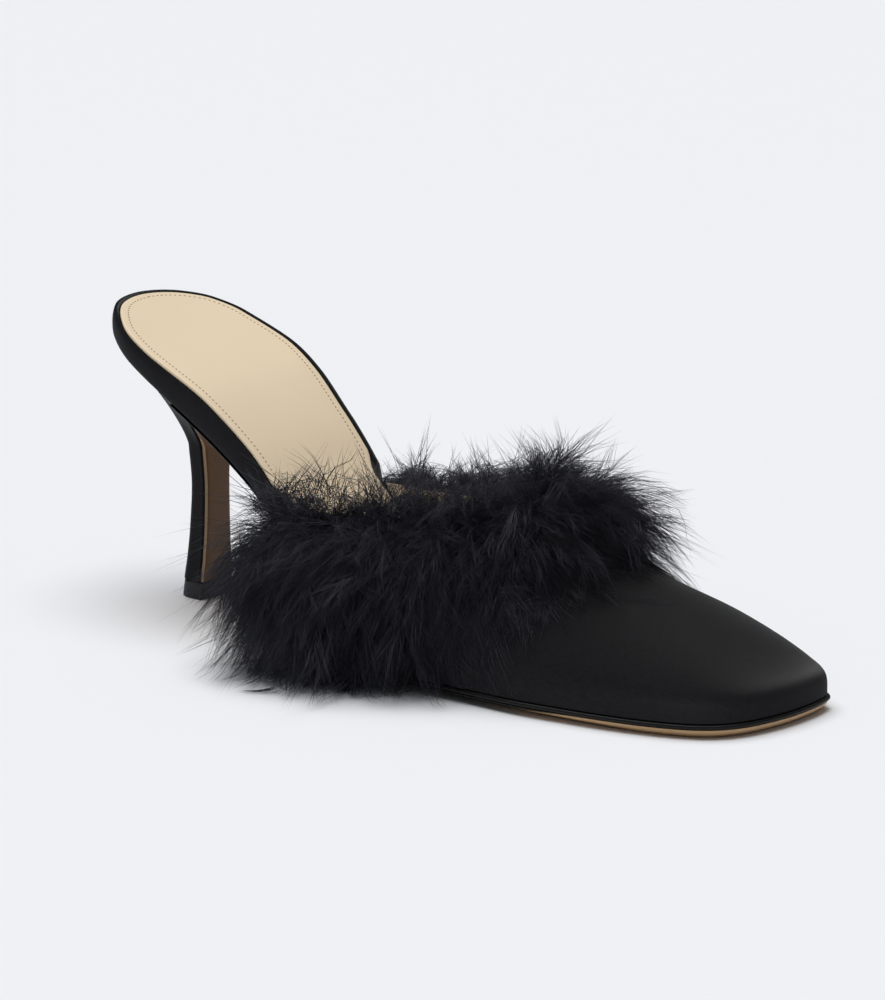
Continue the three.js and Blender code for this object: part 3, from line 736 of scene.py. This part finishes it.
class Strands:
    """Fine tapering strands, each one a few points, kept clear of the shoe and the floor."""

    def __init__(self, points, radius, tone):
        self.points = points
        self.radius = radius
        self.tone = tone

    def clear(self, vamp, body, clearance, floor, over_edge):
        """Moves points out of the shoe. Strands that may lie over the topline can also end inside it."""
        shape = self.points.shape
        flat = self.points.reshape(-1, 3)
        root = np.tile(np.arange(shape[1]) == 0, shape[0])
        for tree in (vamp, body):
            for k in np.flatnonzero(~root):
                near, normal, _, _ = tree.find_nearest(Vector(flat[k]), SEARCH_REACH)
                if near is None:
                    continue
                side = (Vector(flat[k]) - near).dot(normal)
                if side >= clearance:
                    continue
                if over_edge and tree is vamp and side < -0.5 * UPPER_WALL:
                    if side > -UPPER_WALL - clearance:
                        flat[k] = near - normal * (UPPER_WALL + clearance)
                else:
                    flat[k] = near + normal * clearance
        above = (flat[:, 2] - floor) / FLOOR_SOFTNESS
        flat[:, 2] = floor + FLOOR_SOFTNESS * np.logaddexp(0, above)
        self.points = flat.reshape(shape)

    def piece(self, name, material):
        """One joined mesh of closed three-sided strands, pointed at both ends."""
        count, steps = self.points.shape[:2]
        along = unit(np.gradient(self.points, axis=1))
        mean = unit(along.mean(axis=1))
        across = unit(np.cross(mean, np.roll(mean, 1, axis=1) + (0.3, 0.1, 0.7)))
        upward = unit(np.cross(mean, across))
        taper = (1 - 0.85 * np.linspace(0, 1, steps)[1:-1]) ** 0.7
        rings = []
        for k in range(3):
            turn = 2 * math.pi * k / 3
            offset = across * math.cos(turn) + upward * math.sin(turn)
            spread = (self.radius[:, None] * taper[None, :])[..., None]
            rings.append(self.points[:, 1:-1] + offset[:, None, :] * spread)
        body = np.stack(rings, axis=2).reshape(count, -1, 3)
        corners = np.concatenate([body, self.points[:, :1], self.points[:, -1:]], axis=1)
        per = corners.shape[1]
        root, tip = per - 2, per - 1
        faces = [(root, (k + 1) % 3, k) for k in range(3)]
        for s in range(steps - 3):
            for k in range(3):
                a, b = 3 * s + k, 3 * s + (k + 1) % 3
                faces += [(a, b, b + 3), (a, b + 3, a + 3)]
        last = 3 * (steps - 3)
        faces += [(last + k, last + (k + 1) % 3, tip) for k in range(3)]
        index = (np.array(faces)[None] + np.arange(count)[:, None, None] * per).reshape(-1, 3)
        mesh = bpy.data.meshes.new(name)
        place = in_frame(corners.reshape(-1, 3))
        mesh.vertices.add(len(place))
        mesh.vertices.foreach_set("co", place.astype(np.float32).ravel())
        mesh.loops.add(index.size)
        mesh.loops.foreach_set("vertex_index", index.astype(np.int32).ravel())
        mesh.polygons.add(len(index))
        mesh.polygons.foreach_set("loop_start", np.arange(0, index.size, 3, dtype=np.int32))
        mesh.polygons.foreach_set("use_smooth", np.ones(len(index), bool))
        mesh.update(calc_edges=True)
        piece = bpy.data.objects.new(name, mesh)
        mark(piece, "Tone_and_shade", np.repeat(self.tone, per))
        bpy.context.scene.collection.objects.link(piece)
        piece.data.materials.append(material)
        return piece


def plumes(boa, rng, along, angle, lean, length, fall, wisps, barbs, barb_length, spread, curl, radius,
           steps):
    """Feathers rooted on the boa: a short bent shaft each, with wisps of barbs that meet at their tips."""
    count = len(along)
    base = boa.at(along, boa.path)[:, None, None]
    run = unit(boa.at(along, boa.run))[:, None, None]
    outward = unit(boa.at(along, boa.outward))[:, None, None]
    face = np.radians(angle)[:, None, None, None]
    radial = outward * np.cos(face) + UP * np.sin(face)
    root = base + radial * rng.uniform(0.4, 3.4, (count, 1, 1, 1))
    heading = unit(radial + run * lean[:, None, None, None])
    sway = run * rng.normal(0, 0.15, (count, 1, 1, 1)) + outward * rng.normal(0, 0.1, (count, 1, 1, 1))
    bend = sway - UP * fall[:, None, None, None]
    stem = length[:, None, None, None]

    each = (count, wisps, barbs, 1)
    group = (count, wisps, 1, 1)
    each_way = (count, wisps, barbs, 3)
    group_way = (count, wisps, 1, 3)
    place = rng.uniform(0.0, 1.0, group)
    at = np.clip(place + rng.normal(0, 0.07, each), 0, 1)
    start = root + heading * stem * at + bend * stem * at ** 2
    shaft = unit(heading + 2 * bend * place)
    side = unit(np.cross(shaft, rng.normal(0, 1, group_way)))
    opening = np.radians(rng.uniform(*spread, group)) * (1.2 - 0.5 * place)
    way = unit(shaft * np.cos(opening) + side * np.sin(opening) + rng.normal(0, 0.13, each_way))
    reach = barb_length * rng.uniform(0.6, 1.25, group) * (1.1 - 0.4 * place) * rng.uniform(0.7, 1.05, each)
    turn = (bend * 0.5 - UP * rng.uniform(0.0, 0.25, group) + rng.normal(0, curl, group_way)
            + rng.normal(0, 0.3 * curl, each_way))
    wave = rng.normal(0, 0.35 * curl, group_way) + rng.normal(0, 0.2 * curl, each_way)
    points = []
    for k in range(steps + 1):
        u = k / steps
        points.append(start + reach * (way * u + turn * u * u + wave * math.sin(u * math.pi * 1.5)))
    points = np.stack(points, axis=3)
    tips = points[:, :, :, -1:]
    meet = mix(tips, tips.mean(axis=2, keepdims=True), rng.uniform(0.2, 0.9, (count, wisps, 1, 1, 1)))
    points = points + (meet - tips) * (np.linspace(0, 1, steps + 1) ** 1.6)[:, None]
    points = points.reshape(-1, steps + 1, 3)
    tuft = np.repeat(rng.uniform(0, 1, count * wisps), barbs)
    tone = 0.5 * tuft + 0.5 * rng.uniform(0, 1, len(tuft))
    thickness = radius * rng.uniform(0.7, 1.3, len(tuft))
    return Strands(points, thickness, tone)


# Finishes

class Finish:
    """A material with one Principled shader, and short ways to add its nodes."""

    def __init__(self, name, colour, roughness):
        self.material = bpy.data.materials.new(name)
        self.material.use_nodes = True
        self.tree = self.material.node_tree
        self.shader = self.tree.nodes["Principled BSDF"]
        self.colour = (*colour, 1)
        self.shader.inputs["Base Color"].default_value = self.colour
        self.shader.inputs["Roughness"].default_value = roughness
        self.material.diffuse_color = self.colour

    def node(self, kind, **values):
        made = self.tree.nodes.new("ShaderNode" + kind)
        for name, value in values.items():
            if name in made.inputs:
                made.inputs[name].default_value = value
            else:
                setattr(made, name, value)
        return made

    def link(self, start, end):
        self.tree.links.new(start, end)

    def set(self, **values):
        for name, value in values.items():
            self.shader.inputs[name.replace("_", " ")].default_value = value

    def sized(self, place, scale):
        """Coordinates in units of one thread or one grain."""
        made = self.node("Mapping", Scale=scale)
        self.link(place, made.inputs["Vector"])
        return made.outputs["Vector"]

    def cloth(self, scale):
        """Coordinates along the threads of the piece's cloth."""
        return self.sized(self.node("UVMap", uv_map="Cloth").outputs["UV"], scale)

    def solid(self, scale):
        """Coordinates through the solid material."""
        return self.sized(self.node("TexCoord").outputs["Object"], scale)

    def noise(self, vector, detail=3.0, roughness=0.55):
        made = self.node("TexNoise", Scale=1.0, Detail=detail, Roughness=roughness)
        self.link(vector, made.inputs["Vector"])
        return made.outputs["Fac"]

    def rough(self, value, low, high):
        """Lets a texture move the roughness between two numbers."""
        made = self.node("MapRange")
        made.inputs["To Min"].default_value = low
        made.inputs["To Max"].default_value = high
        self.link(value, made.inputs["Value"])
        self.link(made.outputs["Result"], self.shader.inputs["Roughness"])

    def math(self, operation, a, b):
        made = self.node("Math", operation=operation)
        for k, value in enumerate((a, b)):
            if isinstance(value, (int, float)):
                made.inputs[k].default_value = value
            else:
                self.link(value, made.inputs[k])
        return made.outputs[0]

    def both(self, first, share, second):
        """Two textures added, the first one with its share of the sum."""
        return self.math("ADD", self.math("MULTIPLY", first, share), self.math("MULTIPLY", second, 1 - share))

    def attribute(self, name):
        return self.node("Attribute", attribute_name=name).outputs["Fac"]

    def mixer(self, factor):
        """Feeds the base colour from a mix of two colours, and returns their sockets."""
        made = self.node("Mix", data_type="RGBA")
        self.link(factor, made.inputs["Factor"])
        self.mixed = [socket for socket in made.outputs if socket.type == "RGBA"][0]
        self.link(self.mixed, self.shader.inputs["Base Color"])
        return [socket for socket in made.inputs if socket.type == "RGBA"]

    def tint(self, value, dark, light):
        """Mixes two colours by a texture into the base colour."""
        low, high = self.mixer(value)
        low.default_value = (*dark, 1)
        high.default_value = (*light, 1)

    def cover_colour(self, attribute, colour):
        """Covers the base colour where an attribute of the mesh says so."""
        bare = self.mixed
        low, high = self.mixer(self.attribute(attribute))
        self.link(bare, low)
        high.default_value = (*colour, 1)

    def bump(self, height, distance, strength=1.0):
        made = self.node("Bump", Strength=strength, Distance=distance)
        self.link(height, made.inputs["Height"])
        self.link(made.outputs["Normal"], self.shader.inputs["Normal"])


EDGE_BLACK = (0.006, 0.006, 0.0065)


def shade(colour, amount):
    return tuple(min(1.0, c * amount) for c in colour)


def satin_finish(colour):
    """Satin: fine warp threads with a soft broad sheen along them."""
    finish = Finish("satin", colour, 0.4)
    warp = finish.noise(finish.cloth((1100, 4200, 1)), 2, 0.6)
    weft = finish.noise(finish.cloth((5200, 1500, 1)), 2, 0.6)
    slub = finish.noise(finish.cloth((420, 1900, 1)), 3, 0.65)
    cloud = finish.noise(finish.cloth((26, 40, 1)), 4, 0.6)
    uneven = finish.both(cloud, 0.3, slub)
    finish.tint(uneven, shade(colour, 0.0), shade(colour, 2.0))
    finish.rough(uneven, 0.34, 0.8)
    finish.bump(finish.math("ADD", finish.math("ADD", warp, weft), slub), 0.00006, 0.6)
    finish.set(Anisotropic=0.3, Specular_IOR_Level=0.06)
    return finish.material


def lacquer_finish():
    """Black lacquered leather of the rand, in the black that also covers part of the sole's edge."""
    finish = Finish("edge_lacquer", EDGE_BLACK, 0.38)
    grain = finish.noise(finish.solid((900, 900, 900)), 3)
    finish.tint(grain, shade(EDGE_BLACK, 0.7), shade(EDGE_BLACK, 1.3))
    finish.rough(grain, 0.3, 0.48)
    finish.bump(grain, 0.00003, 0.5)
    finish.set(Specular_IOR_Level=0.2)
    return finish.material


def leather_finish(name, colour, roughness, variation, black_edged=False):
    """Plain smooth leather with pores and a soft change of tone."""
    finish = Finish(name, colour, roughness)
    pores = finish.noise(finish.solid((1500, 1500, 1500)), 4)
    cloud = finish.noise(finish.solid((45, 60, 45)), 4)
    finish.tint(finish.both(cloud, 0.8, pores), shade(colour, 1 - variation), shade(colour, 1 + variation))
    finish.rough(pores, roughness - 0.08, roughness + 0.08)
    finish.bump(pores, 0.00004, 0.35)
    finish.set(Specular_IOR_Level=0.25)
    # Black over the parts of the edge that the mesh marks
    if black_edged:
        finish.cover_colour("Black_edge", EDGE_BLACK)
    return finish.material


def rubber_finish():
    finish = Finish("heel_rubber", (0.012, 0.012, 0.013), 0.6)
    grain = finish.noise(finish.solid((1200, 1200, 1200)), 4)
    finish.rough(grain, 0.5, 0.72)
    finish.bump(grain, 0.00006, 0.5)
    return finish.material


def feather_finish(colour):
    """Dyed marabou: near black with a cool sheen, and each barb its own tone."""
    finish = Finish("feather", colour, 0.5)
    # Each strand's tone is its own at random; the core's low value is painted shade inside the trim
    finish.tint(finish.attribute("Tone_and_shade"), shade(colour, 0.15), shade(colour, 2.0))
    finish.set(Sheen_Weight=0.12, Sheen_Roughness=0.5, Specular_IOR_Level=0.35)
    finish.shader.inputs["Sheen Tint"].default_value = (0.75, 0.78, 1.0, 1)
    return finish.material


def finish_of(name):
    """The named material, made on first use from the scene's colours."""
    if name in bpy.data.materials and bpy.data.materials[name].get("slipper"):
        return bpy.data.materials[name]
    colours = bpy.context.scene.slipper_colours
    makers = {
        "satin": lambda: satin_finish(colours.satin),
        "feather": lambda: feather_finish(colours.feather),
        "edge_lacquer": lacquer_finish,
        "heel_rubber": rubber_finish,
        "sock_leather": lambda: leather_finish(name, colours.sock, 0.5, 0.04),
        "sole_leather": lambda: leather_finish(name, colours.sole, 0.45, 0.1, black_edged=True),
        "breast_leather": lambda: leather_finish(name, colours.breast, 0.4, 0.12),
        "raw_edge": lambda: leather_finish(name, (0.34, 0.24, 0.15), 0.6, 0.1),
        "lining": lambda: leather_finish(name, (0.66, 0.53, 0.39), 0.6, 0.05),
        "stitch": lambda: leather_finish(name, (0.3, 0.2, 0.12), 0.7, 0.1),
    }
    made = makers[name]()
    made.name = name
    made["slipper"] = True
    return made


# Operators

class SLIPPER_OT_outsole(bpy.types.Operator):
    """Add the leather outsole with its flap down the heel's breast"""
    bl_idname = "slipper.outsole"
    bl_label = "Outsole"

    def execute(self, context):
        def low(x):
            return seam_height(x) - leather(x)

        def turned_under(x):
            return mix(SOLE_UNDERCUT, TOE_UNDERCUT, smoothstep(x, *TOE_UNDERCUT_SPAN))
        rings = rounded_slab(OUTSOLE_EDGE_INSET, turned_under, low, seam_height)
        tread = plate("leather_outsole", OUTSOLE_START, SHOE_LENGTH, rings, 220)
        place = np.array([v.co for v in tread.data.vertices]) / MM
        x = place[:, 0] + HEEL_CENTRE
        share = (place[:, 2] - low(x)) / leather(x)
        bare = mix(BARE_EDGE_AT_WAIST, BARE_EDGE_AT_TOE, smoothstep(x, *BARE_EDGE_SPAN))
        # Black over the edge above the tan band, where the mesh marks it
        mark(tread, "Black_edge", smoothstep(share, bare - BLACK_EDGE_SOFTNESS, bare + BLACK_EDGE_SOFTNESS))
        flap = breast_flap()
        finishes = ("sole_leather", "breast_leather", "raw_edge")
        for piece in (tread, flap):
            for name in finishes:
                piece.data.materials.append(finish_of(name))
        for face in flap.data.polygons:
            sideways = abs(face.normal.y) > SIDEWAYS
            face.material_index = finishes.index("raw_edge" if sideways else "breast_leather")
        sole = join([tread, flap])
        smooth(sole)
        dress(sole, None, "outsole", slot="sole_leather")
        return {"FINISHED"}


class SLIPPER_OT_rand(bpy.types.Operator):
    """Add the lacquered rand round the foot of the upper"""
    bl_idname = "slipper.rand"
    bl_label = "Rand"

    def execute(self, context):
        arcs = np.linspace(to_arc(RAND_START), math.pi, 200)
        half = RAND_THICKNESS / 2
        section = [(RAND_WIDTH, -half), (RAND_WIDTH, half)]
        section += [(half * (1 - math.cos(turn)), half * math.sin(turn))
                    for turn in np.linspace(math.pi / 2, -math.pi / 2, 9)]
        section.append(section[0])
        lines = {}
        for side in (-1, 1):
            loop = []
            for inset, rise in section:
                line = side_line(arcs, side, always(inset))
                loop.append(raised(line, seam_height(line[:, 0]) + GAP + half + rise))
            lines[side] = np.stack(loop, axis=1)
        points = np.concatenate([lines[-1], lines[1][::-1][1:]])
        rand = skin("lacquered_rand", points, unroll(points))
        close(rand)
        smooth(rand)
        dress(rand, finish_of("edge_lacquer"), "rand", slot="edge_lacquer")
        return {"FINISHED"}


class SLIPPER_OT_footbed(bpy.types.Operator):
    """Add the satin-covered footbed"""
    bl_idname = "slipper.footbed"
    bl_label = "Footbed"

    def execute(self, context):
        def low(x):
            return seam_height(x) + GAP

        def edge(x):
            return INSIDE_UPPER * smoothstep(x, *FOOTBED_STEP_SPAN)

        def roll(x, side):
            """Height of the rolled satin edge that the sock lies against."""
            return by_side(x, side, ROLL_HEIGHT, OUTER_ROLL_HEIGHT) * (1 - smoothstep(x, *ROLL_END_SPAN))

        def level(x, side, share):
            return mix(low(x), footbed_top(x) - bank(x, side), share)
        rings = [(lambda x, side, i=inset: edge(x) + i,
                  lambda x, side, s=share, r=rise: level(x, side, s) + r * roll(x, side))
                 for share, inset, rise in FOOTBED_SIDE]
        bed = plate("satin_footbed", 0, SHOE_LENGTH, rings, 260)
        smooth(bed, 50)
        dress(bed, finish_of("satin"), "footbed", slot="satin")
        return {"FINISHED"}


class SLIPPER_OT_sock(bpy.types.Operator):
    """Add the leather sock with its row of stitches"""
    bl_idname = "slipper.sock"
    bl_label = "Sock"

    def execute(self, context):
        stitch = context.scene.slipper_stitches

        def edge(x, side):
            taper = INSIDE_UPPER * smoothstep(x, *SOCK_TAPER_SPAN)
            return taper + by_side(x, side, SOCK_INSET, OUTER_SOCK_INSET)

        def low(x, side):
            return footbed_top(x) - bank(x, side) + GAP
        rings = [(lambda x, side, i=inset: edge(x, side) + i, lambda x, side, r=rise: low(x, side) + r)
                 for rise, inset in SOCK_SIDE]
        sock = plate("leather_sock", 0, SHOE_LENGTH, rings, 260)
        smooth(sock, 50)
        dress(sock, finish_of("sock_leather"), "insole_sock", slot="sock_leather")

        inset = stitch.inset / MM
        arcs = np.linspace(0, math.pi, 4000)
        loop = []
        for side in (-1, 1):
            line = side_line(arcs, side, lambda x: edge(x, side) + inset)
            line = raised(line, low(line[:, 0], side) + SOCK_THICKNESS)
            loop.append(line if side < 0 else line[::-1])
        loop = np.concatenate(loop)
        length = distances(loop)
        places = np.arange(0, length[-1], stitch.spacing / MM)
        centre, ahead = (np.stack([np.interp(at, length, loop[:, k]) for k in range(3)], -1)
                         for at in (places, places + STITCH_AHEAD))
        heading = unit(ahead - centre)
        deselect()
        bpy.ops.mesh.primitive_uv_sphere_add(segments=6, ring_count=4, radius=0.5)
        model = context.object
        knot = np.array([v.co for v in model.data.vertices])
        faces = [tuple(p.vertices) for p in model.data.polygons]
        bpy.data.objects.remove(model)
        across = unit(np.cross(UP, heading))
        upward = np.cross(heading, across)
        local = knot * (stitch.length / MM, STITCH_WIDTH, STITCH_HEIGHT)
        spots = (centre[:, None] + heading[:, None] * local[None, :, :1]
                 + across[:, None] * local[None, :, 1:2] + upward[:, None] * local[None, :, 2:])
        corners = in_frame(spots).reshape(-1, 3)
        row = [tuple(c + k * len(knot) for c in face) for k in range(len(places)) for face in faces]
        mesh = bpy.data.meshes.new("sock_stitches")
        mesh.from_pydata(corners.tolist(), [], row)
        mesh.update()
        stitches = bpy.data.objects.new("sock_stitches", mesh)
        context.scene.collection.objects.link(stitches)
        smooth(stitches, 180)
        dress(stitches, finish_of("stitch"), slot="sock_leather")
        return {"FINISHED"}


class SLIPPER_OT_upper(bpy.types.Operator):
    """Add the satin vamp with its lining"""
    bl_idname = "slipper.upper"
    bl_label = "Upper"

    def execute(self, context):
        points, unrolled = arch_points()
        upper = skin("satin_upper", points, unrolled)
        open_merged(upper)
        slope = TOPLINE_RISE / (THROAT_X - UPPER_START)
        bpy.ops.mesh.bisect(
            plane_co=((UPPER_START - HEEL_CENTRE) * MM, 0, TOPLINE_HEIGHT * MM),
            plane_no=(-slope, 0, 1), clear_outer=True)
        bpy.ops.object.mode_set(mode="OBJECT")
        upper.data.materials.append(finish_of("satin"))
        upper.data.materials.append(finish_of("lining"))
        wall = upper.modifiers.new("Wall", "SOLIDIFY")
        wall.thickness = UPPER_WALL * MM
        wall.offset = -1
        wall.material_offset = 1
        wall.use_even_offset = True
        bpy.ops.object.modifier_apply(modifier=wall.name)
        smooth(upper, 50)
        dress(upper, None, "upper", slot="satin")
        return {"FINISHED"}


class SLIPPER_OT_heel(bpy.types.Operator):
    """Add the satin-covered heel and its top piece"""
    bl_idname = "slipper.heel"
    bl_label = "Heel"

    def execute(self, context):
        cut = BREAST_LEATHER + GAP
        levels = np.linspace(TOP_PIECE_HEIGHT + GAP, STEM_TOP, 30)
        low = stem_ring(STEM_TOP, cut)
        high = seat_ring()
        rings = [stem_ring(z, cut) for z in levels]
        rings += [flare(low, high, t) for t in np.linspace(0, 1, 46)[1:]]
        heel = ring_stack("satin_heel", rings)
        bevel(heel, 0.0004, 3)
        smooth(heel)
        dress(heel, finish_of("satin"), "heel", slot="satin")
        tip = ring_stack("rubber_top_piece", [stem_ring(z, 0) for z in (0, 1.5, 3, TOP_PIECE_HEIGHT)])
        bevel(tip, 0.0003, 3)
        smooth(tip)
        dress(tip, finish_of("heel_rubber"), "heel_top_piece", slot="heel_rubber")
        return {"FINISHED"}


class SLIPPER_OT_feathers(bpy.types.Operator):
    """Add the marabou trim: its core and the feathers on it"""
    bl_idname = "slipper.feathers"
    bl_label = "Feathers"

    def obstacles(self):
        points, _ = arch_points()
        rows, columns = points.shape[:2]
        corner = np.arange(rows * columns).reshape(rows, columns)
        faces = np.stack([corner[:-1, :-1], corner[:-1, 1:], corner[1:, 1:], corner[1:, :-1]], -1)
        faces = faces.reshape(-1, 4)
        flat = points.reshape(-1, 3)
        keep = flat[faces[:, 0], 2] < topline(flat[faces[:, 0], 0]) + 0.5
        vamp = BVHTree.FromPolygons(flat.tolist(), faces[keep].tolist())
        corners = []
        faces = []
        for name in ("footbed", "insole_sock", "outsole", "heel", "rand"):
            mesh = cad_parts[name].data
            start = len(corners)
            corners += [v.co / MM + Vector((HEEL_CENTRE, 0, 0)) for v in mesh.vertices]
            faces += [tuple(start + c for c in p.vertices) for p in mesh.polygons]
        return vamp, BVHTree.FromPolygons(corners, faces)

    def core(self, boa, rng, radius):
        along = np.linspace(0, 1, 180)
        base = boa.at(along, boa.path)
        run = unit(boa.at(along, boa.run))
        outward = unit(boa.at(along, boa.outward))
        upward = np.cross(outward, run)
        turns = np.linspace(0, 2 * math.pi, 25)
        ends = np.sqrt(np.clip(1 - (2 * along - 1) ** 40, 0, 1))
        lumps = rng.normal(0, 1, CORE_LUMPS)
        ripple = np.interp(along, np.linspace(0, 1, CORE_LUMPS), lumps)
        size = radius * (1 + LUMP_HEIGHT * ripple) * ends
        points = (base[:, None] + outward[:, None] * (np.cos(turns)[None, :] * size[:, None])[..., None]
                  + upward[:, None] * (np.sin(turns)[None, :] * size[:, None])[..., None])
        core = skin("feather_core", points, unroll(points))
        close(core)
        # The cord carries the feathers, and its dark tone is painted shade inside the feather mass
        mark(core, "Tone_and_shade", np.full(len(core.data.vertices), CORE_SHADE_TONE))
        smooth(core, 180)
        return core

    def execute(self, context):
        sizes = context.scene.slipper_feathers
        boa = Boa()
        rng = np.random.default_rng(sizes.seed)
        radius = sizes.barb_radius / MM
        obstacles = self.obstacles()
        feather = finish_of("feather")
        core = self.core(boa, rng, sizes.core_radius / MM)
        dress(core, feather, "feather_trim", slot="feather")

        def row(name, count, start, end, angle, spread, shaft, wisps, barbs, barb_length, steps,
                fall=1.0, lean=0.22, opening=(14, 52), curl=0.16, width=1.0, over_edge=False):
            along = start + (end - start) * rng.uniform(0, 1, count)
            tilt = sweep_angle(along) + angle + rng.normal(0, spread, count)
            leaning = np.clip(rng.normal(0, lean, count), -MOST_LEAN, MOST_LEAN)
            strands = plumes(
                boa, rng, along, tilt, sweep_lean(along) + leaning,
                sweep_length(along) * shaft * rng.uniform(0.6, 1.2, count),
                sweep_fall(along) * fall * rng.uniform(0.7, 1.3, count),
                wisps, barbs, barb_length, opening, curl, radius * width, steps)
            strands.clear(*obstacles, sizes.skin_clearance / MM, sizes.floor_clearance / MM, over_edge)
            piece = strands.piece(name, feather)
            dress(piece, feather, "feather_trim", slot="feather")

        row("feathers_outer_low", 144, 0.05, 0.44, -14, 18, 0.85, 14, 6, 24, 3, lean=0.3)
        row("feathers_outer_high", 166, 0.03, 0.46, 24, 24, 0.65, 13, 5, 22, 4, lean=0.3)
        row("feathers_throat", 140, 0.40, 0.66, 4, 28, 0.8, 14, 6, 22, 3, lean=0.3)
        row("feathers_inner", 116, 0.62, 1.0, 8, 28, 0.8, 14, 6, 16, 3)
        row("feathers_crest", 62, 0.1, 1.0, 80, 26, 0.3, 12, 5, 11, 4, opening=(20, 75), curl=0.36,
            width=1.3, over_edge=True)
        row("feathers_edge", 72, 0.0, 0.46, 78, 18, 0.2, 12, 5, 10, 4, fall=0.4, opening=(6, 44), curl=0.28,
            width=1.4, over_edge=True)
        row("feathers_curls", 56, 0.0, 0.42, 98, 16, 0.5, 5, 3, 16, 4, fall=0.2, opening=(5, 32), curl=0.4,
            width=1.5, over_edge=True)
        row("feathers_inward", 84, 0.55, 1.0, 134, 24, 0.38, 12, 5, 12, 4, fall=1.4, opening=(15, 65),
            curl=0.3, width=1.3, over_edge=True)
        row("feathers_stray", 70, 0.06, 0.62, 2, 24, 0.75, 4, 2, 23, 5, lean=0.5, opening=(10, 46),
            curl=0.26)
        return {"FINISHED"}


class SLIPPER_OT_stage(bpy.types.Operator):
    """Add the floor, the camera and the light"""
    bl_idname = "slipper.stage"
    bl_label = "Stage"

    def light(self, name, turn, lean, breadth, strength):
        """A broad soft light from above, leaning from the zenith towards an azimuth."""
        deselect()
        bpy.ops.object.light_add(type="SUN", location=(0, 0, 2))
        lamp = bpy.context.object
        lamp.name = name
        lamp.data.angle = math.radians(breadth)
        lamp.data.energy = strength
        lamp.rotation_euler = (0, math.radians(lean), math.radians(turn))
        return lamp

    def execute(self, context):
        studio = context.scene.slipper_studio
        deselect()
        bpy.ops.mesh.primitive_plane_add(size=studio.floor_size, location=(0, 0, 0))
        floor = context.object
        floor.name = "floor"
        paper = Finish("floor_paper", studio.floor_colour, 0.9)
        grain = paper.noise(paper.solid((60, 60, 60)), 3)
        paper.tint(grain, shade(studio.floor_colour, 0.997), shade(studio.floor_colour, 1.003))
        floor.data.materials.append(paper.material)

        bpy.ops.object.camera_add(location=studio.camera_place)
        camera = context.object
        camera.data.lens = studio.lens
        camera.data.sensor_width = 36
        camera.data.clip_end = 60
        aim = Vector(studio.camera_aim) - Vector(studio.camera_place)
        camera.rotation_euler = aim.to_track_quat("-Z", "Y").to_euler()
        context.scene.camera = camera

        satin = bpy.data.collections.new("satin_pieces")
        others = bpy.data.collections.new("all_but_satin")
        for name in ("satin_upper", "satin_footbed", "satin_heel"):
            satin.objects.link(bpy.data.objects[name])
            others.objects.link(bpy.data.objects[name])
        for item in others.collection_objects:
            item.light_linking.link_state = "EXCLUDE"
        for name, turn, lean, breadth, strength, reached in LIGHTS:
            lamp = self.light(name, turn, lean, breadth, strength)
            if reached:
                lamp.light_linking.receiver_collection = bpy.data.collections[reached]

        world = bpy.data.worlds.new("studio")
        world.use_nodes = True
        backdrop = world.node_tree.nodes["Background"]
        backdrop.inputs["Color"].default_value = SKY_COLOUR
        backdrop.inputs["Strength"].default_value = SKY_STRENGTH
        context.scene.world = world
        context.scene.view_settings.view_transform = "Standard"
        context.scene.view_settings.look = "None"
        return {"FINISHED"}


OPERATORS = (
    SLIPPER_OT_outsole,
    SLIPPER_OT_rand,
    SLIPPER_OT_footbed,
    SLIPPER_OT_sock,
    SLIPPER_OT_upper,
    SLIPPER_OT_heel,
    SLIPPER_OT_feathers,
    SLIPPER_OT_stage,
)


class SLIPPER_PT_panel(bpy.types.Panel):
    """The slipper's settings, and a button for each of its pieces"""
    bl_idname = "SLIPPER_PT_panel"
    bl_label = "Slipper"
    bl_space_type = "VIEW_3D"
    bl_region_type = "UI"
    bl_category = "Slipper"

    def draw(self, context):
        for group in (context.scene.slipper_feathers, context.scene.slipper_stitches,
                      context.scene.slipper_colours, context.scene.slipper_studio):
            box = self.layout.box()
            for name in group.bl_rna.properties.keys():
                if name not in {"rna_type", "name"}:
                    box.prop(group, name)
        for operator in OPERATORS:
            self.layout.operator(operator.bl_idname)


CLASSES = (FeatherSizes, StitchSizes, SlipperColours, StudioSizes, *OPERATORS, SLIPPER_PT_panel)
GROUPS = {
    "slipper_feathers": FeatherSizes,
    "slipper_stitches": StitchSizes,
    "slipper_colours": SlipperColours,
    "slipper_studio": StudioSizes,
}


def register():
    for made in CLASSES:
        bpy.utils.register_class(made)
    for name, group in GROUPS.items():
        setattr(bpy.types.Scene, name, bpy.props.PointerProperty(type=group))


def unregister():
    for name in GROUPS:
        delattr(bpy.types.Scene, name)
    for made in reversed(CLASSES):
        bpy.utils.unregister_class(made)


def main():
    register()
    bpy.ops.slipper.outsole()
    bpy.ops.slipper.rand()
    bpy.ops.slipper.footbed()
    bpy.ops.slipper.sock()
    bpy.ops.slipper.upper()
    bpy.ops.slipper.heel()
    bpy.ops.slipper.feathers()
    bpy.ops.slipper.stage()


if __name__ == "__main__":
    main()
